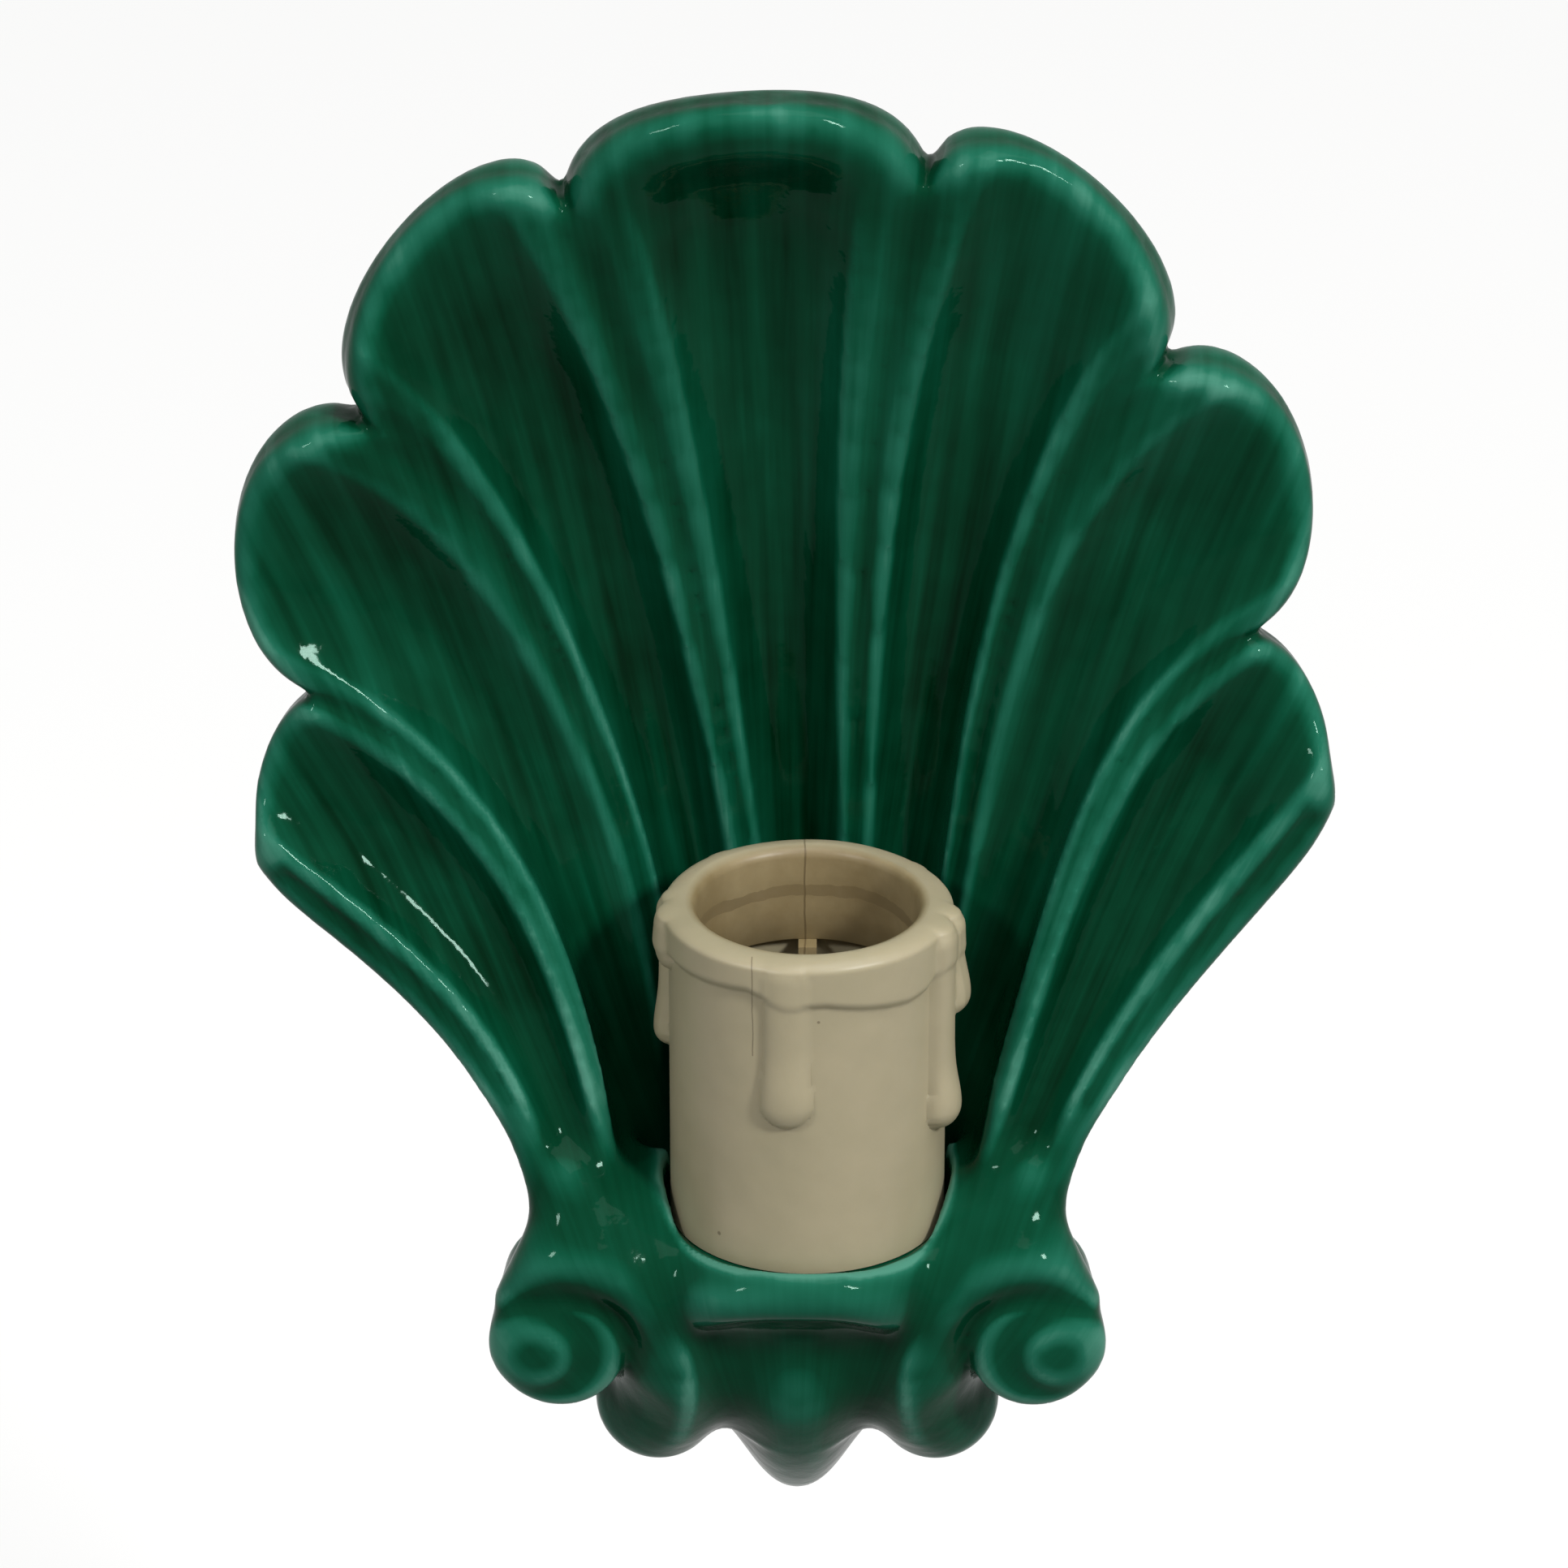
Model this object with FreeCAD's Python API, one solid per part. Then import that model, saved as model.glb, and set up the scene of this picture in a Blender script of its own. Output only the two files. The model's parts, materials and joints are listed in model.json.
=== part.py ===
"""Shell wall sconce: a fluted, glazed ceramic shell on a scrolled foot, with a candle sleeve over a small lampholder.

Row frame, in millimetres: +X to the right, +Y into the wall, +Z up. The front of the light looks along -Y.
The origin is the mouth of the hanging hole, on the wall plane. Below, places are given as across, depth in front
of the wall, and height over the shelf that the candle sleeve stands on; at() turns them into the row frame.
"""
import FreeCAD, Part
import math
import os

Vec = FreeCAD.Vector
UP = Vec(0, 0, 1)
FORWARD = Vec(0, -1, 0)

# ---------------------------------------------------------------- driving dimensions
hang_height = 112.0        # hanging hole above the shelf
hang_hole_r = 3.5
hang_hole_depth = 9.0
hang_pad_r = 11.0

socket_x = 1.4             # the socket hole was pierced a little to the right
socket_depth = 40.0        # socket axis in front of the wall
shelf_under = -8.0         # underside of the shelf, whose top is at height 0
recess_r = 20.4            # shallow seat of the candle sleeve
foot_wall = 6.0

lean_deg = 4.2             # the fan leans to the left of its foot
lean_pivot = 50.0          # height that it leans about
lean_start, lean_full = 10.0, 70.0


def at(x, depth, height):
    return Vec(x, -depth, height - hang_height)


def ease(a, b, x):
    t = min(1.0, max(0.0, (x - a) / (b - a)))
    return t * t * (3 - 2 * t)


# ---------------------------------------------------------------- skins of triangles
class Skin:
    """Corners and triangles of a closed skin, with corners at the same place counted once."""

    def __init__(self):
        self.corners, self.index, self.triangles = [], {}, []

    def corner(self, p):
        key = (round(p.x, 4), round(p.y, 4), round(p.z, 4))
        if key not in self.index:
            self.index[key] = len(self.corners)
            self.corners.append(p)
        return self.index[key]

    def triangle(self, a, b, c, flip=False):
        ids = [self.corner(p) for p in ((a, c, b) if flip else (a, b, c))]
        if len(set(ids)) == 3:
            self.triangles.append(tuple(ids))

    def strip(self, low, high, flip=False):
        """Joins two rows of points; the second may have half as many steps, each spanning two of the first."""
        if len(low) == len(high):
            for a, b, c, d in zip(low, low[1:], high[1:], high):
                self.triangle(a, b, c, flip)
                self.triangle(a, c, d, flip)
            return
        for i, (d, c) in enumerate(zip(high, high[1:])):
            a, m, b = low[2 * i:2 * i + 3]
            self.triangle(a, m, d, flip)
            self.triangle(m, c, d, flip)
            self.triangle(m, b, c, flip)

    def solid(self):
        shape = Part.Shape()
        shape.makeShapeFromMesh((self.corners, self.triangles), 0.001)
        solid = Part.makeSolid(shape)
        if solid.Volume < 0:
            solid.reverse()
        return solid


def ring_solid(rings):
    """A solid through rings of points, with flat ends."""
    skin = Skin()
    closed = [ring + ring[:1] for ring in rings]
    for low, high in zip(closed, closed[1:]):
        skin.strip(low, high)
    for ring, flip in ((closed[0], True), (closed[-1], False)):
        middle = sum(ring[:-1], Vec()) * (1.0 / (len(ring) - 1))
        for a, b in zip(ring, ring[1:]):
            skin.triangle(middle, a, b, flip)
    return skin.solid()


def smoothed(stations, steps):
    """Stations along a Catmull-Rom curve through the given ones; a station is any tuple of numbers."""
    padded = [stations[0]] + stations + [stations[-1]]
    result = []
    for four in zip(padded, padded[1:], padded[2:], padded[3:]):
        for u in (i / steps for i in range(steps)):
            weights = (2 * u ** 2 - u - u ** 3, 2 - 5 * u ** 2 + 3 * u ** 3, u + 4 * u ** 2 - 3 * u ** 3, u ** 3 - u ** 2)
            result.append(tuple(sum(w * q for w, q in zip(weights, values)) / 2 for values in zip(*four)))
    return result + [stations[-1]]


def round_tube(stations, sides=9):
    """A round bar through (across, depth, height, radius) stations, its last end rounded."""
    points = [at(*station[:3]) for station in stations]
    rings = []
    for i, (p, station) in enumerate(zip(points, stations)):
        tangent = (points[min(i + 1, len(points) - 1)] - points[max(i - 1, 0)]).normalize()
        first = tangent.cross(Vec(0, 1, 0)).normalize()
        second = tangent.cross(first)
        around = [first * math.cos(a) + second * math.sin(a) for a in (2 * math.pi * n / sides for n in range(sides))]
        rings.append([p + d * station[3] for d in around])
    for a in (math.radians(degrees) for degrees in (25, 50, 75)):
        rings.append([points[-1] + (tangent * math.sin(a) + d * math.cos(a)) * stations[-1][3] for d in around])
    return ring_solid(rings)


# ---------------------------------------------------------------- the fluted fan
# A ridge between two flutes is a cubic Bezier from the foot to its notch in the rim: (across, depth, height).
RIDGES = [
    [(4.5, 16.5, -8), (8.5, 17.5, 50), (10, 16.4, 105), (22.8, 27, 143.8)],
    [(17, 24, -8), (18, 20, 45), (34, 21, 106), (49.7, 28, 116)],
    [(21.5, 52, -10), (31.5, 40, 36), (39, 30, 66), (60, 31, 78)],
    [(33, 51, -10), (33.5, 46, 25), (55, 40, 38), (70, 38, 56)],
]
# How far each lobe stands out past the line between its notches, and how far its lip curls: (across, depth, height).
LOBE_REACH = [(0, -3, 31.5), (7.2, 0, 11.8), (14.4, 0, 6), (4.4, 0, 3)]
LOBE_ROUNDNESS = [0.75, 0.38, 0.44, 0.5]
LIP_CURL = [(0, 6.5, -18.8), (0, 1.5, 0), (0, 1, 0), (0, 0, 0)]
curl_sharpness = 5
flute_depth_foot, flute_depth_mid = 3.0, 6.5
FLUTE_DEPTH_RIM = [0.5, 5.0, 5.0, 5.0]
groove_foot, groove_rim = 0.3, 1.6
thickness_rim = 12.0       # of the casting under every ridge, at its notch
FAN_THICKNESS_FOOT = [11.5, 11, 7, 6]    # under each ridge at the foot
rim_bulge = 3.5            # how far the rounded rim stands past the flutes' ends
lip_bulge = 1.8            # and how much further in the middle of the centre lobe
rib_share = 0.26           # share of a flute's half width that its rib takes

ACROSS = [-0.5, -0.45, -0.4, -0.335, -0.24, -0.12, 0.0, 0.12, 0.24, 0.335, 0.4, 0.45, 0.5]
ALONG = [0.0, 0.14, 0.27, 0.39, 0.5, 0.6, 0.69, 0.77, 0.84, 0.9, 0.945, 0.98, 1.0]
BACK_ACROSS = ACROSS[::2]
BACK_ALONG = ALONG[::2]
RIM_ANGLES = [40, 90, 140]
FLUTES = range(-3, 4)


def ridge(number, v):
    """The ridge to the right of flute `number`, at v from 0 at the foot to 1. Number -4 is the fan's left edge."""
    mirrored = number < 0
    a, b, c, d = [Vec(*p) for p in RIDGES[-number - 1 if mirrored else number]]
    w = 1 - v
    p = a * w ** 3 + b * (3 * w * w * v) + c * (3 * w * v * v) + d * v ** 3
    return Vec(-p.x if mirrored else p.x, -p.y, p.z)


def lobe_vector(k, sizes):
    across, depth, height = sizes[abs(k)]
    return Vec(-across if k < 0 else across, -depth, height)


def sheet(k, t, v):
    """A point of the smooth sheet through the ridges of flute k: t runs across it from -0.5 to 0.5, v up it."""
    base = ridge(k - 1, v) * (0.5 - t) + ridge(k, v) * (0.5 + t)
    reach = lobe_vector(k, LOBE_REACH) * (v ** 3 * max(0.0, 1 - 4 * t * t) ** LOBE_ROUNDNESS[abs(k)])
    return base + reach + lobe_vector(k, LIP_CURL) * (v ** curl_sharpness * (1 - 4 * t * t))


def directions(k, t, v):
    """Unit directions up the sheet and into the clay, within one flute."""
    step = 0.02
    up = (sheet(k, t, min(1.0, v + step)) - sheet(k, t, max(0.0, v - step))).normalize()
    across = ridge(k, v) - ridge(k - 1, v)
    return up, up.cross(across).normalize()


def shared_directions(k, t, v):
    """The same, turning into the mean of both flutes' directions at the ridge between them."""
    up, inward = directions(k, t, v)
    side = 1 if t > 0 else -1
    if k + side not in FLUTES:
        return up, inward
    up_there, inward_there = directions(k + side, -0.5 * side, v)
    w = abs(2 * t) ** 3 / 2
    return (up * (1 - w) + up_there * w).normalize(), (inward * (1 - w) + inward_there * w).normalize()


def thickness(k, t, v):
    """From the ridge crests through to the smooth back."""
    left, right = [FAN_THICKNESS_FOOT[-n - 1 if n < 0 else n] for n in (k - 1, k)]
    at_foot = left * (0.5 - t) + right * (0.5 + t)
    return at_foot + (thickness_rim - at_foot) * ease(0.2, 1.0, v)


def front_sink(k, t, v):
    """How deep the front lies under the ridge crests: the flute, and the groove along the middle of each rib."""
    s = abs(2 * t)
    depth = flute_depth_foot + (flute_depth_mid - flute_depth_foot) * ease(0, 0.45, v)
    depth += (FLUTE_DEPTH_RIM[abs(k)] - flute_depth_mid) * ease(0.75, 1.0, v)
    depth = min(depth, thickness(k, t, v) / 2)
    inner = s / (1 - rib_share)
    flute = depth * (1 - inner ** 2.5) if inner < 1 else 0.0
    edge = (s - (1 - rib_share / 2)) / (rib_share / 2)
    groove = (groove_foot + (groove_rim - groove_foot) * v) * edge ** 2 if edge > 0 else 0.0
    return flute + groove


def front(k, t, v):
    return sheet(k, t, v) + shared_directions(k, t, v)[1] * front_sink(k, t, v)


def back(k, t, v):
    """The smooth back, its direction turning evenly from one ridge to the next."""
    left, right = shared_directions(k, -0.5, v)[1], shared_directions(k, 0.5, v)[1]
    return sheet(k, t, v) + (left * (0.5 - t) + right * (0.5 + t)).normalize() * thickness(k, t, v)


def rim(k, t, v, angle):
    """A point of the half ellipse that rounds the rim from the front (0 degrees) to the back (180 degrees)."""
    a = math.radians(angle)
    push = shared_directions(k, t, v)[0] * v ** 12
    if abs(k) == 3 and t * k > 0:
        # along the fan's two lower edges the rim stands outward instead
        push += (ridge(k, v) - ridge(k - 1, v)).normalize() * (math.copysign(1, t) * abs(2 * t) ** 8)
    share = (1 - math.cos(a)) / 2
    bulge = rim_bulge + (lip_bulge * (1 - 4 * t * t) if k == 0 else 0)
    return front(k, t, v) * (1 - share) + back(k, t, v) * share + push.normalize() * (bulge * math.sin(a))


def leaned(p):
    """Turns the fan to the left about a point over the foot, easing in over its lower part."""
    s = math.sin(math.radians(lean_deg)) * ease(lean_start, lean_full, p.z)
    return Vec(p.x - (p.z - lean_pivot) * s, p.y, p.z + p.x * s - hang_height)


def fan():
    skin = Skin()
    for k in FLUTES:
        rows = [[front(k, t, v) for t in ACROSS] for v in ALONG]
        rows += [[rim(k, t, 1.0, a) for t in ACROSS] for a in RIM_ANGLES]
        rows += [[back(k, t, v) for t in BACK_ACROSS] for v in reversed(BACK_ALONG)]
        for low, high in zip(rows, rows[1:]):
            skin.strip(low, high)
        skin.strip(rows[0], rows[-1], flip=True)
    for k in (-3, 3):
        t = math.copysign(0.5, k)
        rows = [[front(k, t, v) for v in ALONG]]
        rows += [[rim(k, t, v, a) for v in ALONG] for a in RIM_ANGLES]
        rows.append([back(k, t, v) for v in BACK_ALONG])
        for low, high in zip(rows, rows[1:]):
            skin.strip(low, high, flip=k > 0)
        ends = [row[0] for row in rows]
        for low, high in zip(ends[1:], ends[2:]):
            skin.triangle(ends[0], low, high, flip=k < 0)
    skin.corners = [leaned(p) for p in skin.corners]
    return skin.solid()


# ---------------------------------------------------------------- the scrolled foot
# Level cuts through the foot, without its scrolls: (height, half width, depth at the front).
FOOT = [(1.4, 28, 61), (0.9, 31, 63), (-0.8, 33, 64.5), (-3.2, 34, 63), (-6, 34.5, 58), (-9.5, 34.5, 55),
        (-14, 34, 55), (-17.5, 32.3, 56), (-21, 30.5, 56), (-26, 27.5, 54), (-32, 23, 50.5), (-38, 17.5, 46),
        (-44, 13, 40.5), (-50, 9, 34), (-54.5, 5, 27), (-57.2, 1.8, 21)]
foot_squareness = 2.7
hollow_low, hollow_flare = -48, 2.0
# The band of each scroll, swept through (across, depth, height, radius).
BAND = [(36.0, 46, -3.5, 5.0), (31.8, 51, -5.2, 5.5), (26.7, 51.8, -6.3, 5.6), (22.5, 52, -8.6, 5.8),
        (19.2, 51.2, -13.6, 6.1), (17.1, 48.8, -20.8, 6.8), (16.9, 45, -27.5, 7.8), (18.8, 39.5, -33, 9.2)]
# A shoulder from the fan's edge over to the shelf closes the scroll's top, and a web joins the band to the eye.
SHOULDER = [(31, 44, -3, 6.0), (21.5, 47, -4.2, 6.3), (16.5, 50.5, -6.8, 5.0)]
WEB = [(27, 43, -8, 7.5), (26, 43.5, -17, 7.5), (24, 38, -27, 7.0)]
eye_x, eye_height = 34.3, -15.1
EYE_STEPS = [(34, 9.5), (49, 9.5), (52.5, 8.7), (56.6, 8.2), (57.0, 6.9), (60.6, 6.5), (62.1, 5.2), (62.8, 2.6)]
eye_tallness = 1.07


def level_ring(height, half_width, front_depth, steps):
    """One level cut: a squared half ellipse from the wall plane, closed along the wall."""
    ring = []
    for a in (math.pi * (0.5 - i / steps) for i in range(steps + 1)):
        across = math.copysign(abs(math.sin(a)) ** (2 / foot_squareness), a) * half_width
        ring.append(at(across, front_depth * abs(math.cos(a)) ** (2 / foot_squareness), height))
    return ring


def foot_core():
    return ring_solid([level_ring(h, w, d, 20) for h, w, d in reversed(FOOT)])


def foot_hollow():
    """The hollow behind the foot, open at the wall, under the shelf."""
    cuts = [(h, w - foot_wall, d - foot_wall) for h, w, d in reversed(FOOT) if hollow_low < h < shelf_under]
    cuts.append((shelf_under,) + cuts[-1][1:])
    out = Vec(0, hollow_flare, 0)
    return ring_solid([[p + out for p in level_ring(h, w, d + hollow_flare, 16)] for h, w, d in cuts])


def scroll(side):
    eye = []
    for depth, r in EYE_STEPS:
        turn = [2 * math.pi * n / 12 for n in range(12)]
        eye.append([at(side * eye_x + r * math.cos(a), depth, eye_height + eye_tallness * r * math.sin(a)) for a in turn])
    bars = [round_tube([(side * x, d, h, r) for x, d, h, r in bar]) for bar in (smoothed(BAND, 2), SHOULDER, WEB)]
    return bars + [ring_solid(eye)]


def shell_casting():
    body = fan().multiFuse([foot_core()] + scroll(-1) + scroll(1))
    body = body.fuse(cylinder_forward(hang_pad_r, 0, hang_height, 0, 10))
    for tool in (foot_hollow(), cylinder(recess_r, 0, 20), cylinder(nipple_r + 0.25, shelf_under - 1, 1),
                 cylinder_forward(hang_hole_r, 0, hang_height, -1, hang_hole_depth)):
        body = body.cut(tool)
    return body.Solids[0]


# ---------------------------------------------------------------- plain forms, on the socket's axis unless told
def cylinder(r, low, high, x=socket_x, depth=socket_depth):
    return Part.makeCylinder(r, high - low, at(x, depth, low))


def cylinder_forward(r, x, height, near, far):
    """A cylinder square to the wall, between two depths."""
    return Part.makeCylinder(r, far - near, at(x, near, height), FORWARD)


def rod(r, low, high, x=socket_x, depth=socket_depth, sides=16):
    """An upright bar with flat sides, for small pieces that nobody sees."""
    turn = [2 * math.pi * (n + 0.5) / sides for n in range(sides + 1)]
    outline = Part.makePolygon([at(x + r * math.cos(a), depth + r * math.sin(a), low) for a in turn])
    return Part.Face(outline).extrude(UP * (high - low))


def rod_forward(r, x, height, near, far, sides=16):
    """The same, square to the wall between two depths."""
    turn = [2 * math.pi * (n + 0.5) / sides for n in range(sides + 1)]
    outline = Part.makePolygon([at(x + r * math.cos(a), near, height + r * math.sin(a)) for a in turn])
    return Part.Face(outline).extrude(FORWARD * (far - near))


def block(x_low, x_high, depth_low, depth_high, low, high):
    return Part.makeBox(x_high - x_low, depth_high - depth_low, high - low, at(x_low, depth_high, low))


def hexagon(across_flats, low, high, x=socket_x, depth=socket_depth):
    return rod(across_flats / math.sqrt(3), low, high, x, depth, 6)


def turned(outline, sides, x=socket_x, depth=socket_depth):
    """Turns an outline of (radius, height) about an upright axis, in flat sides."""
    turn = [2 * math.pi * (n + 0.5) / sides for n in range(sides)]
    circles = [[at(x + r * math.cos(a), depth + r * math.sin(a), h) for a in turn] for r, h in outline]
    skin = Skin()
    closed = [circle + circle[:1] for circle in circles + circles[:1]]
    for low, high in zip(closed, closed[1:]):
        skin.strip(low, high)
    return skin.solid()


def washer(outer, low, high):
    inner = nipple_r + 0.3
    return turned([(inner, low), (outer, low), (outer, high), (inner, high)], 24)


def joined(shapes):
    return shapes[0].multiFuse(shapes[1:]).removeSplitter()


# ---------------------------------------------------------------- the candle sleeve
sleeve_r, sleeve_height = 19.5, 49.5
sleeve_bore_r, sleeve_bore_depth = 15.65, 14.6
sleeve_skirt_r = 17.6      # inside, below the ledge
sleeve_rib_r, sleeve_rib_width = 13.1, 2.6
collar_r, collar_low = 20.1, 40.0
# Wax drips: (degrees round the sleeve from the front, to the right; height of the tip; radius of the tip).
DRIPS = [(-9, 27.0, 3.6), (-88, 42.5, 2.6), (-96, 27.5, 2.7), (80, 35.5, 3.4), (66, 20.5, 4.2)]
drip_sink = 1.2            # how much deeper than its skin a drip's axis lies
drip_start = 46.5


def drip(degrees, tip, r):
    a = math.radians(degrees)
    axis = sleeve_r + 0.6 - drip_sink
    x, depth = socket_x + axis * math.sin(a), socket_depth + axis * math.cos(a)
    neck = 0.62 * r
    return round_tube([(x, depth, drip_start, neck), (x, depth, tip + 1.2 * r, neck), (x, depth, tip, r)])


def candle_sleeve():
    top = sleeve_height
    ledge = top - sleeve_bore_depth
    outline = [(sleeve_skirt_r, 0), (sleeve_r, 0), (sleeve_r, collar_low), (collar_r, collar_low + 1.5),
               (collar_r, top - 3), (collar_r - 0.5, top - 1), (collar_r - 1.6, top), (sleeve_bore_r + 0.6, top),
               (sleeve_bore_r, top - 0.8), (sleeve_bore_r, ledge), (sleeve_skirt_r, ledge)]
    body = turned(outline, 48).multiFuse([drip(*d) for d in DRIPS])
    body = body.cut(rod(sleeve_skirt_r, -1, ledge, sides=48)).cut(rod(sleeve_bore_r, ledge - 1, 44, sides=48))
    ribs = []
    for n in range(4):
        w = sleeve_rib_width / 2
        rib = block(socket_x - w, socket_x + w, socket_depth + sleeve_rib_r, socket_depth + sleeve_skirt_r + 0.5, 3, ledge)
        rib.rotate(at(socket_x, socket_depth, 0), UP, 90 * n)
        ribs.append(rib)
    return body.multiFuse(ribs).Solids[0]


# ---------------------------------------------------------------- the lampholder
nipple_r, nipple_bore_r = 5.0, 3.9
seat_washer_top = 1.2
holder_r, holder_top = 12.4, 33.5
cap_floor, cap_top, spigot_top, spigot_r, cap_bore_r = 5.5, 10.0, 14.5, 11.5, 9.0
skirt_bore_r, skirt_mouth_r, skirt_lip = 10.4, 7.7, 31.5
insert_top = 20.0
contact_recess, contact_travel = 3.0, 1.3
lamp_thread_r, screw_shell_wall = 7.0, 0.5
contact_x = 5.5            # holder terminals, each side of the axis
terminal_low = 9.5
lead_r = 1.0
lead_gap = 1.25            # leads in the nipple, each side of the axis


def holder_cap():
    hole = nipple_r + 0.05
    return turned([(hole, seat_washer_top), (holder_r - 1, seat_washer_top), (holder_r, seat_washer_top + 1),
                   (holder_r, cap_top), (spigot_r, cap_top), (spigot_r, spigot_top), (cap_bore_r, spigot_top),
                   (cap_bore_r, cap_floor), (hole, cap_floor)], 32)


def holder_skirt():
    return turned([(spigot_r, cap_top), (holder_r, cap_top), (holder_r, holder_top - 0.8), (holder_r - 0.8, holder_top),
                   (skirt_mouth_r, holder_top), (skirt_mouth_r, skirt_lip), (skirt_bore_r, skirt_lip),
                   (skirt_bore_r, spigot_top), (spigot_r, spigot_top)], 32)


def holder_insert():
    """The insulating core: it stands on the cap's spigot and carries the contacts."""
    body = rod(skirt_bore_r, spigot_top, insert_top, sides=32)
    body = body.cut(rod(3.1, insert_top - contact_recess, insert_top + 1))
    return body.cut(rod(1.6, spigot_top - 1, insert_top))


def screw_shell():
    outer = lamp_thread_r + screw_shell_wall
    body = turned([(0, insert_top), (9.6, insert_top), (9.6, insert_top + 0.6), (outer, insert_top + 0.6),
                   (outer, skirt_lip), (0, skirt_lip)], 32)
    return body.cut(cylinder(lamp_thread_r, insert_top - 1, skirt_lip + 1))


def centre_contact():
    """A sprung plunger, flush with the core's top, its riveted end stopping it under the core."""
    rivet, head = spigot_top - 0.05, insert_top - contact_recess + contact_travel + 0.1
    circles = [(0.0, rivet - 0.8), (1.9, rivet - 0.8), (1.9, rivet), (1.25, rivet), (1.25, head), (2.7, head),
               (2.7, insert_top - 0.6), (1.8, insert_top - 0.05), (0.0, insert_top - 0.05)]
    return turned(circles, 12)


def each_side(make):
    return Part.makeCompound([make(-1), make(1)])


def holder_terminals():
    def one(side):
        x = socket_x + side * contact_x
        return block(x - 2, x + 2, socket_depth - 2.5, socket_depth + 2.5, terminal_low, spigot_top)
    return each_side(one)


def holder_terminal_screws():
    def one(side):
        screw = rod(1.7, 0, 1.1, 0, 0, 12)
        screw.rotate(at(0, 0, 0), FORWARD, side * -90)
        screw.translate(Vec(socket_x + side * (contact_x + 2), -socket_depth, terminal_low + 3))
        return screw
    return each_side(one)


# ---------------------------------------------------------------- fixing under the shelf
washer_thick, plate_thick = 1.0, 1.5
strap_top = shelf_under - washer_thick
strap_under = strap_top - plate_thick
nut_top = strap_under - 0.8
nut_low = nut_top - 5.0
nipple_low = nut_low - 1.2
tray_top = -18.0
tray_under = tray_top - plate_thick
leg_depth = 29.5           # near face of the strap's upright leg
tray_near = 8.0
strap_half = 6.5
block_half, block_near, block_far, block_tall = 8.5, 10.0, 24.0, 11.0
pole_x, pole_drop = 4.0, 5.5
barrel_r, barrel_bore_r = 2.4, 1.5


def threaded_nipple():
    body = rod(nipple_r, nipple_low, cap_floor, sides=24)
    return body.cut(rod(nipple_bore_r, nipple_low - 1, cap_floor + 1, sides=24))


def lock_nut():
    return hexagon(14, nut_low, nut_top).cut(rod(nipple_r, nut_low - 1, nut_top + 1, sides=24))


def block_strap():
    low, high = socket_x - strap_half, socket_x + strap_half
    body = joined([block(low, high, leg_depth, 47.5, strap_under, strap_top),
                   block(low, high, leg_depth, leg_depth + plate_thick, tray_under, strap_top),
                   block(low, high, tray_near, leg_depth + plate_thick, tray_under, tray_top)])
    middle = (block_near + block_far) / 2
    return body.cut(rod(nipple_r + 0.3, strap_under - 1, strap_top + 1, sides=24)).cut(
        rod(1.6, tray_under - 1, tray_top + 1, socket_x, middle))


def terminal_block():
    low = tray_under - block_tall
    body = block(socket_x - block_half, socket_x + block_half, block_near, block_far, low, tray_under)
    middle = (block_near + block_far) / 2
    body = body.cut(rod(1.6, low - 1, tray_under + 1, socket_x, middle))
    for x in (socket_x - pole_x, socket_x + pole_x):
        body = body.cut(rod_forward(barrel_r, x, tray_under - pole_drop, block_near - 1, block_far + 1))
        for depth in (block_near + 3.5, block_far - 3.5):
            body = body.cut(rod(1.5, low - 1, tray_under - pole_drop, x, depth, 12))
    return body


def block_barrels():
    def one(side):
        x, height = socket_x + side * pole_x, tray_under - pole_drop
        body = rod_forward(barrel_r, x, height, block_near + 0.5, block_far - 0.5)
        return body.cut(rod_forward(barrel_bore_r, x, height, block_near, block_far))
    return each_side(one)


def block_screws():
    screws = []
    for x in (socket_x - pole_x, socket_x + pole_x):
        for depth in (block_near + 3.5, block_far - 3.5):
            screws.append(rod(1.4, tray_under - block_tall + 1, tray_under - pole_drop - barrel_r, x, depth, 12))
    return Part.makeCompound(screws)


def block_bolt():
    middle = (block_near + block_far) / 2
    low = tray_under - block_tall
    return joined([rod(1.5, low, tray_top + 3.2, socket_x, middle), rod(2.7, low - 1.8, low, socket_x, middle)])


def block_nut():
    middle = (block_near + block_far) / 2
    return hexagon(5.5, tray_top, tray_top + 2.4, socket_x, middle).cut(
        rod(1.5, tray_top - 1, tray_top + 3, socket_x, middle))


# ---------------------------------------------------------------- internal leads
def arc_points(centre, start, end, steps):
    """Points round a circle's arc between two unit directions from its centre, given as (centre, radius)."""
    middle, r = centre
    angle = math.acos(start.dot(end))
    result = []
    for u in (i / steps for i in range(1, steps + 1)):
        result.append(middle + (start * math.sin((1 - u) * angle) + end * math.sin(u * angle)) * (r / math.sin(angle)))
    return result


def cord_solid(points, r, sides=8):
    """A faceted cord along a route, its cuts turning with it and level across."""
    rings = []
    for i, p in enumerate(points):
        tangent = (points[min(i + 1, len(points) - 1)] - points[max(i - 1, 0)]).normalize()
        across = tangent.cross(Vec(0.3, 1, 0.02)).normalize()
        over = tangent.cross(across)
        turn = [2 * math.pi * n / sides for n in range(sides)]
        rings.append([p + (across * math.cos(a) + over * math.sin(a)) * r for a in turn])
    return ring_solid(rings)


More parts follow.
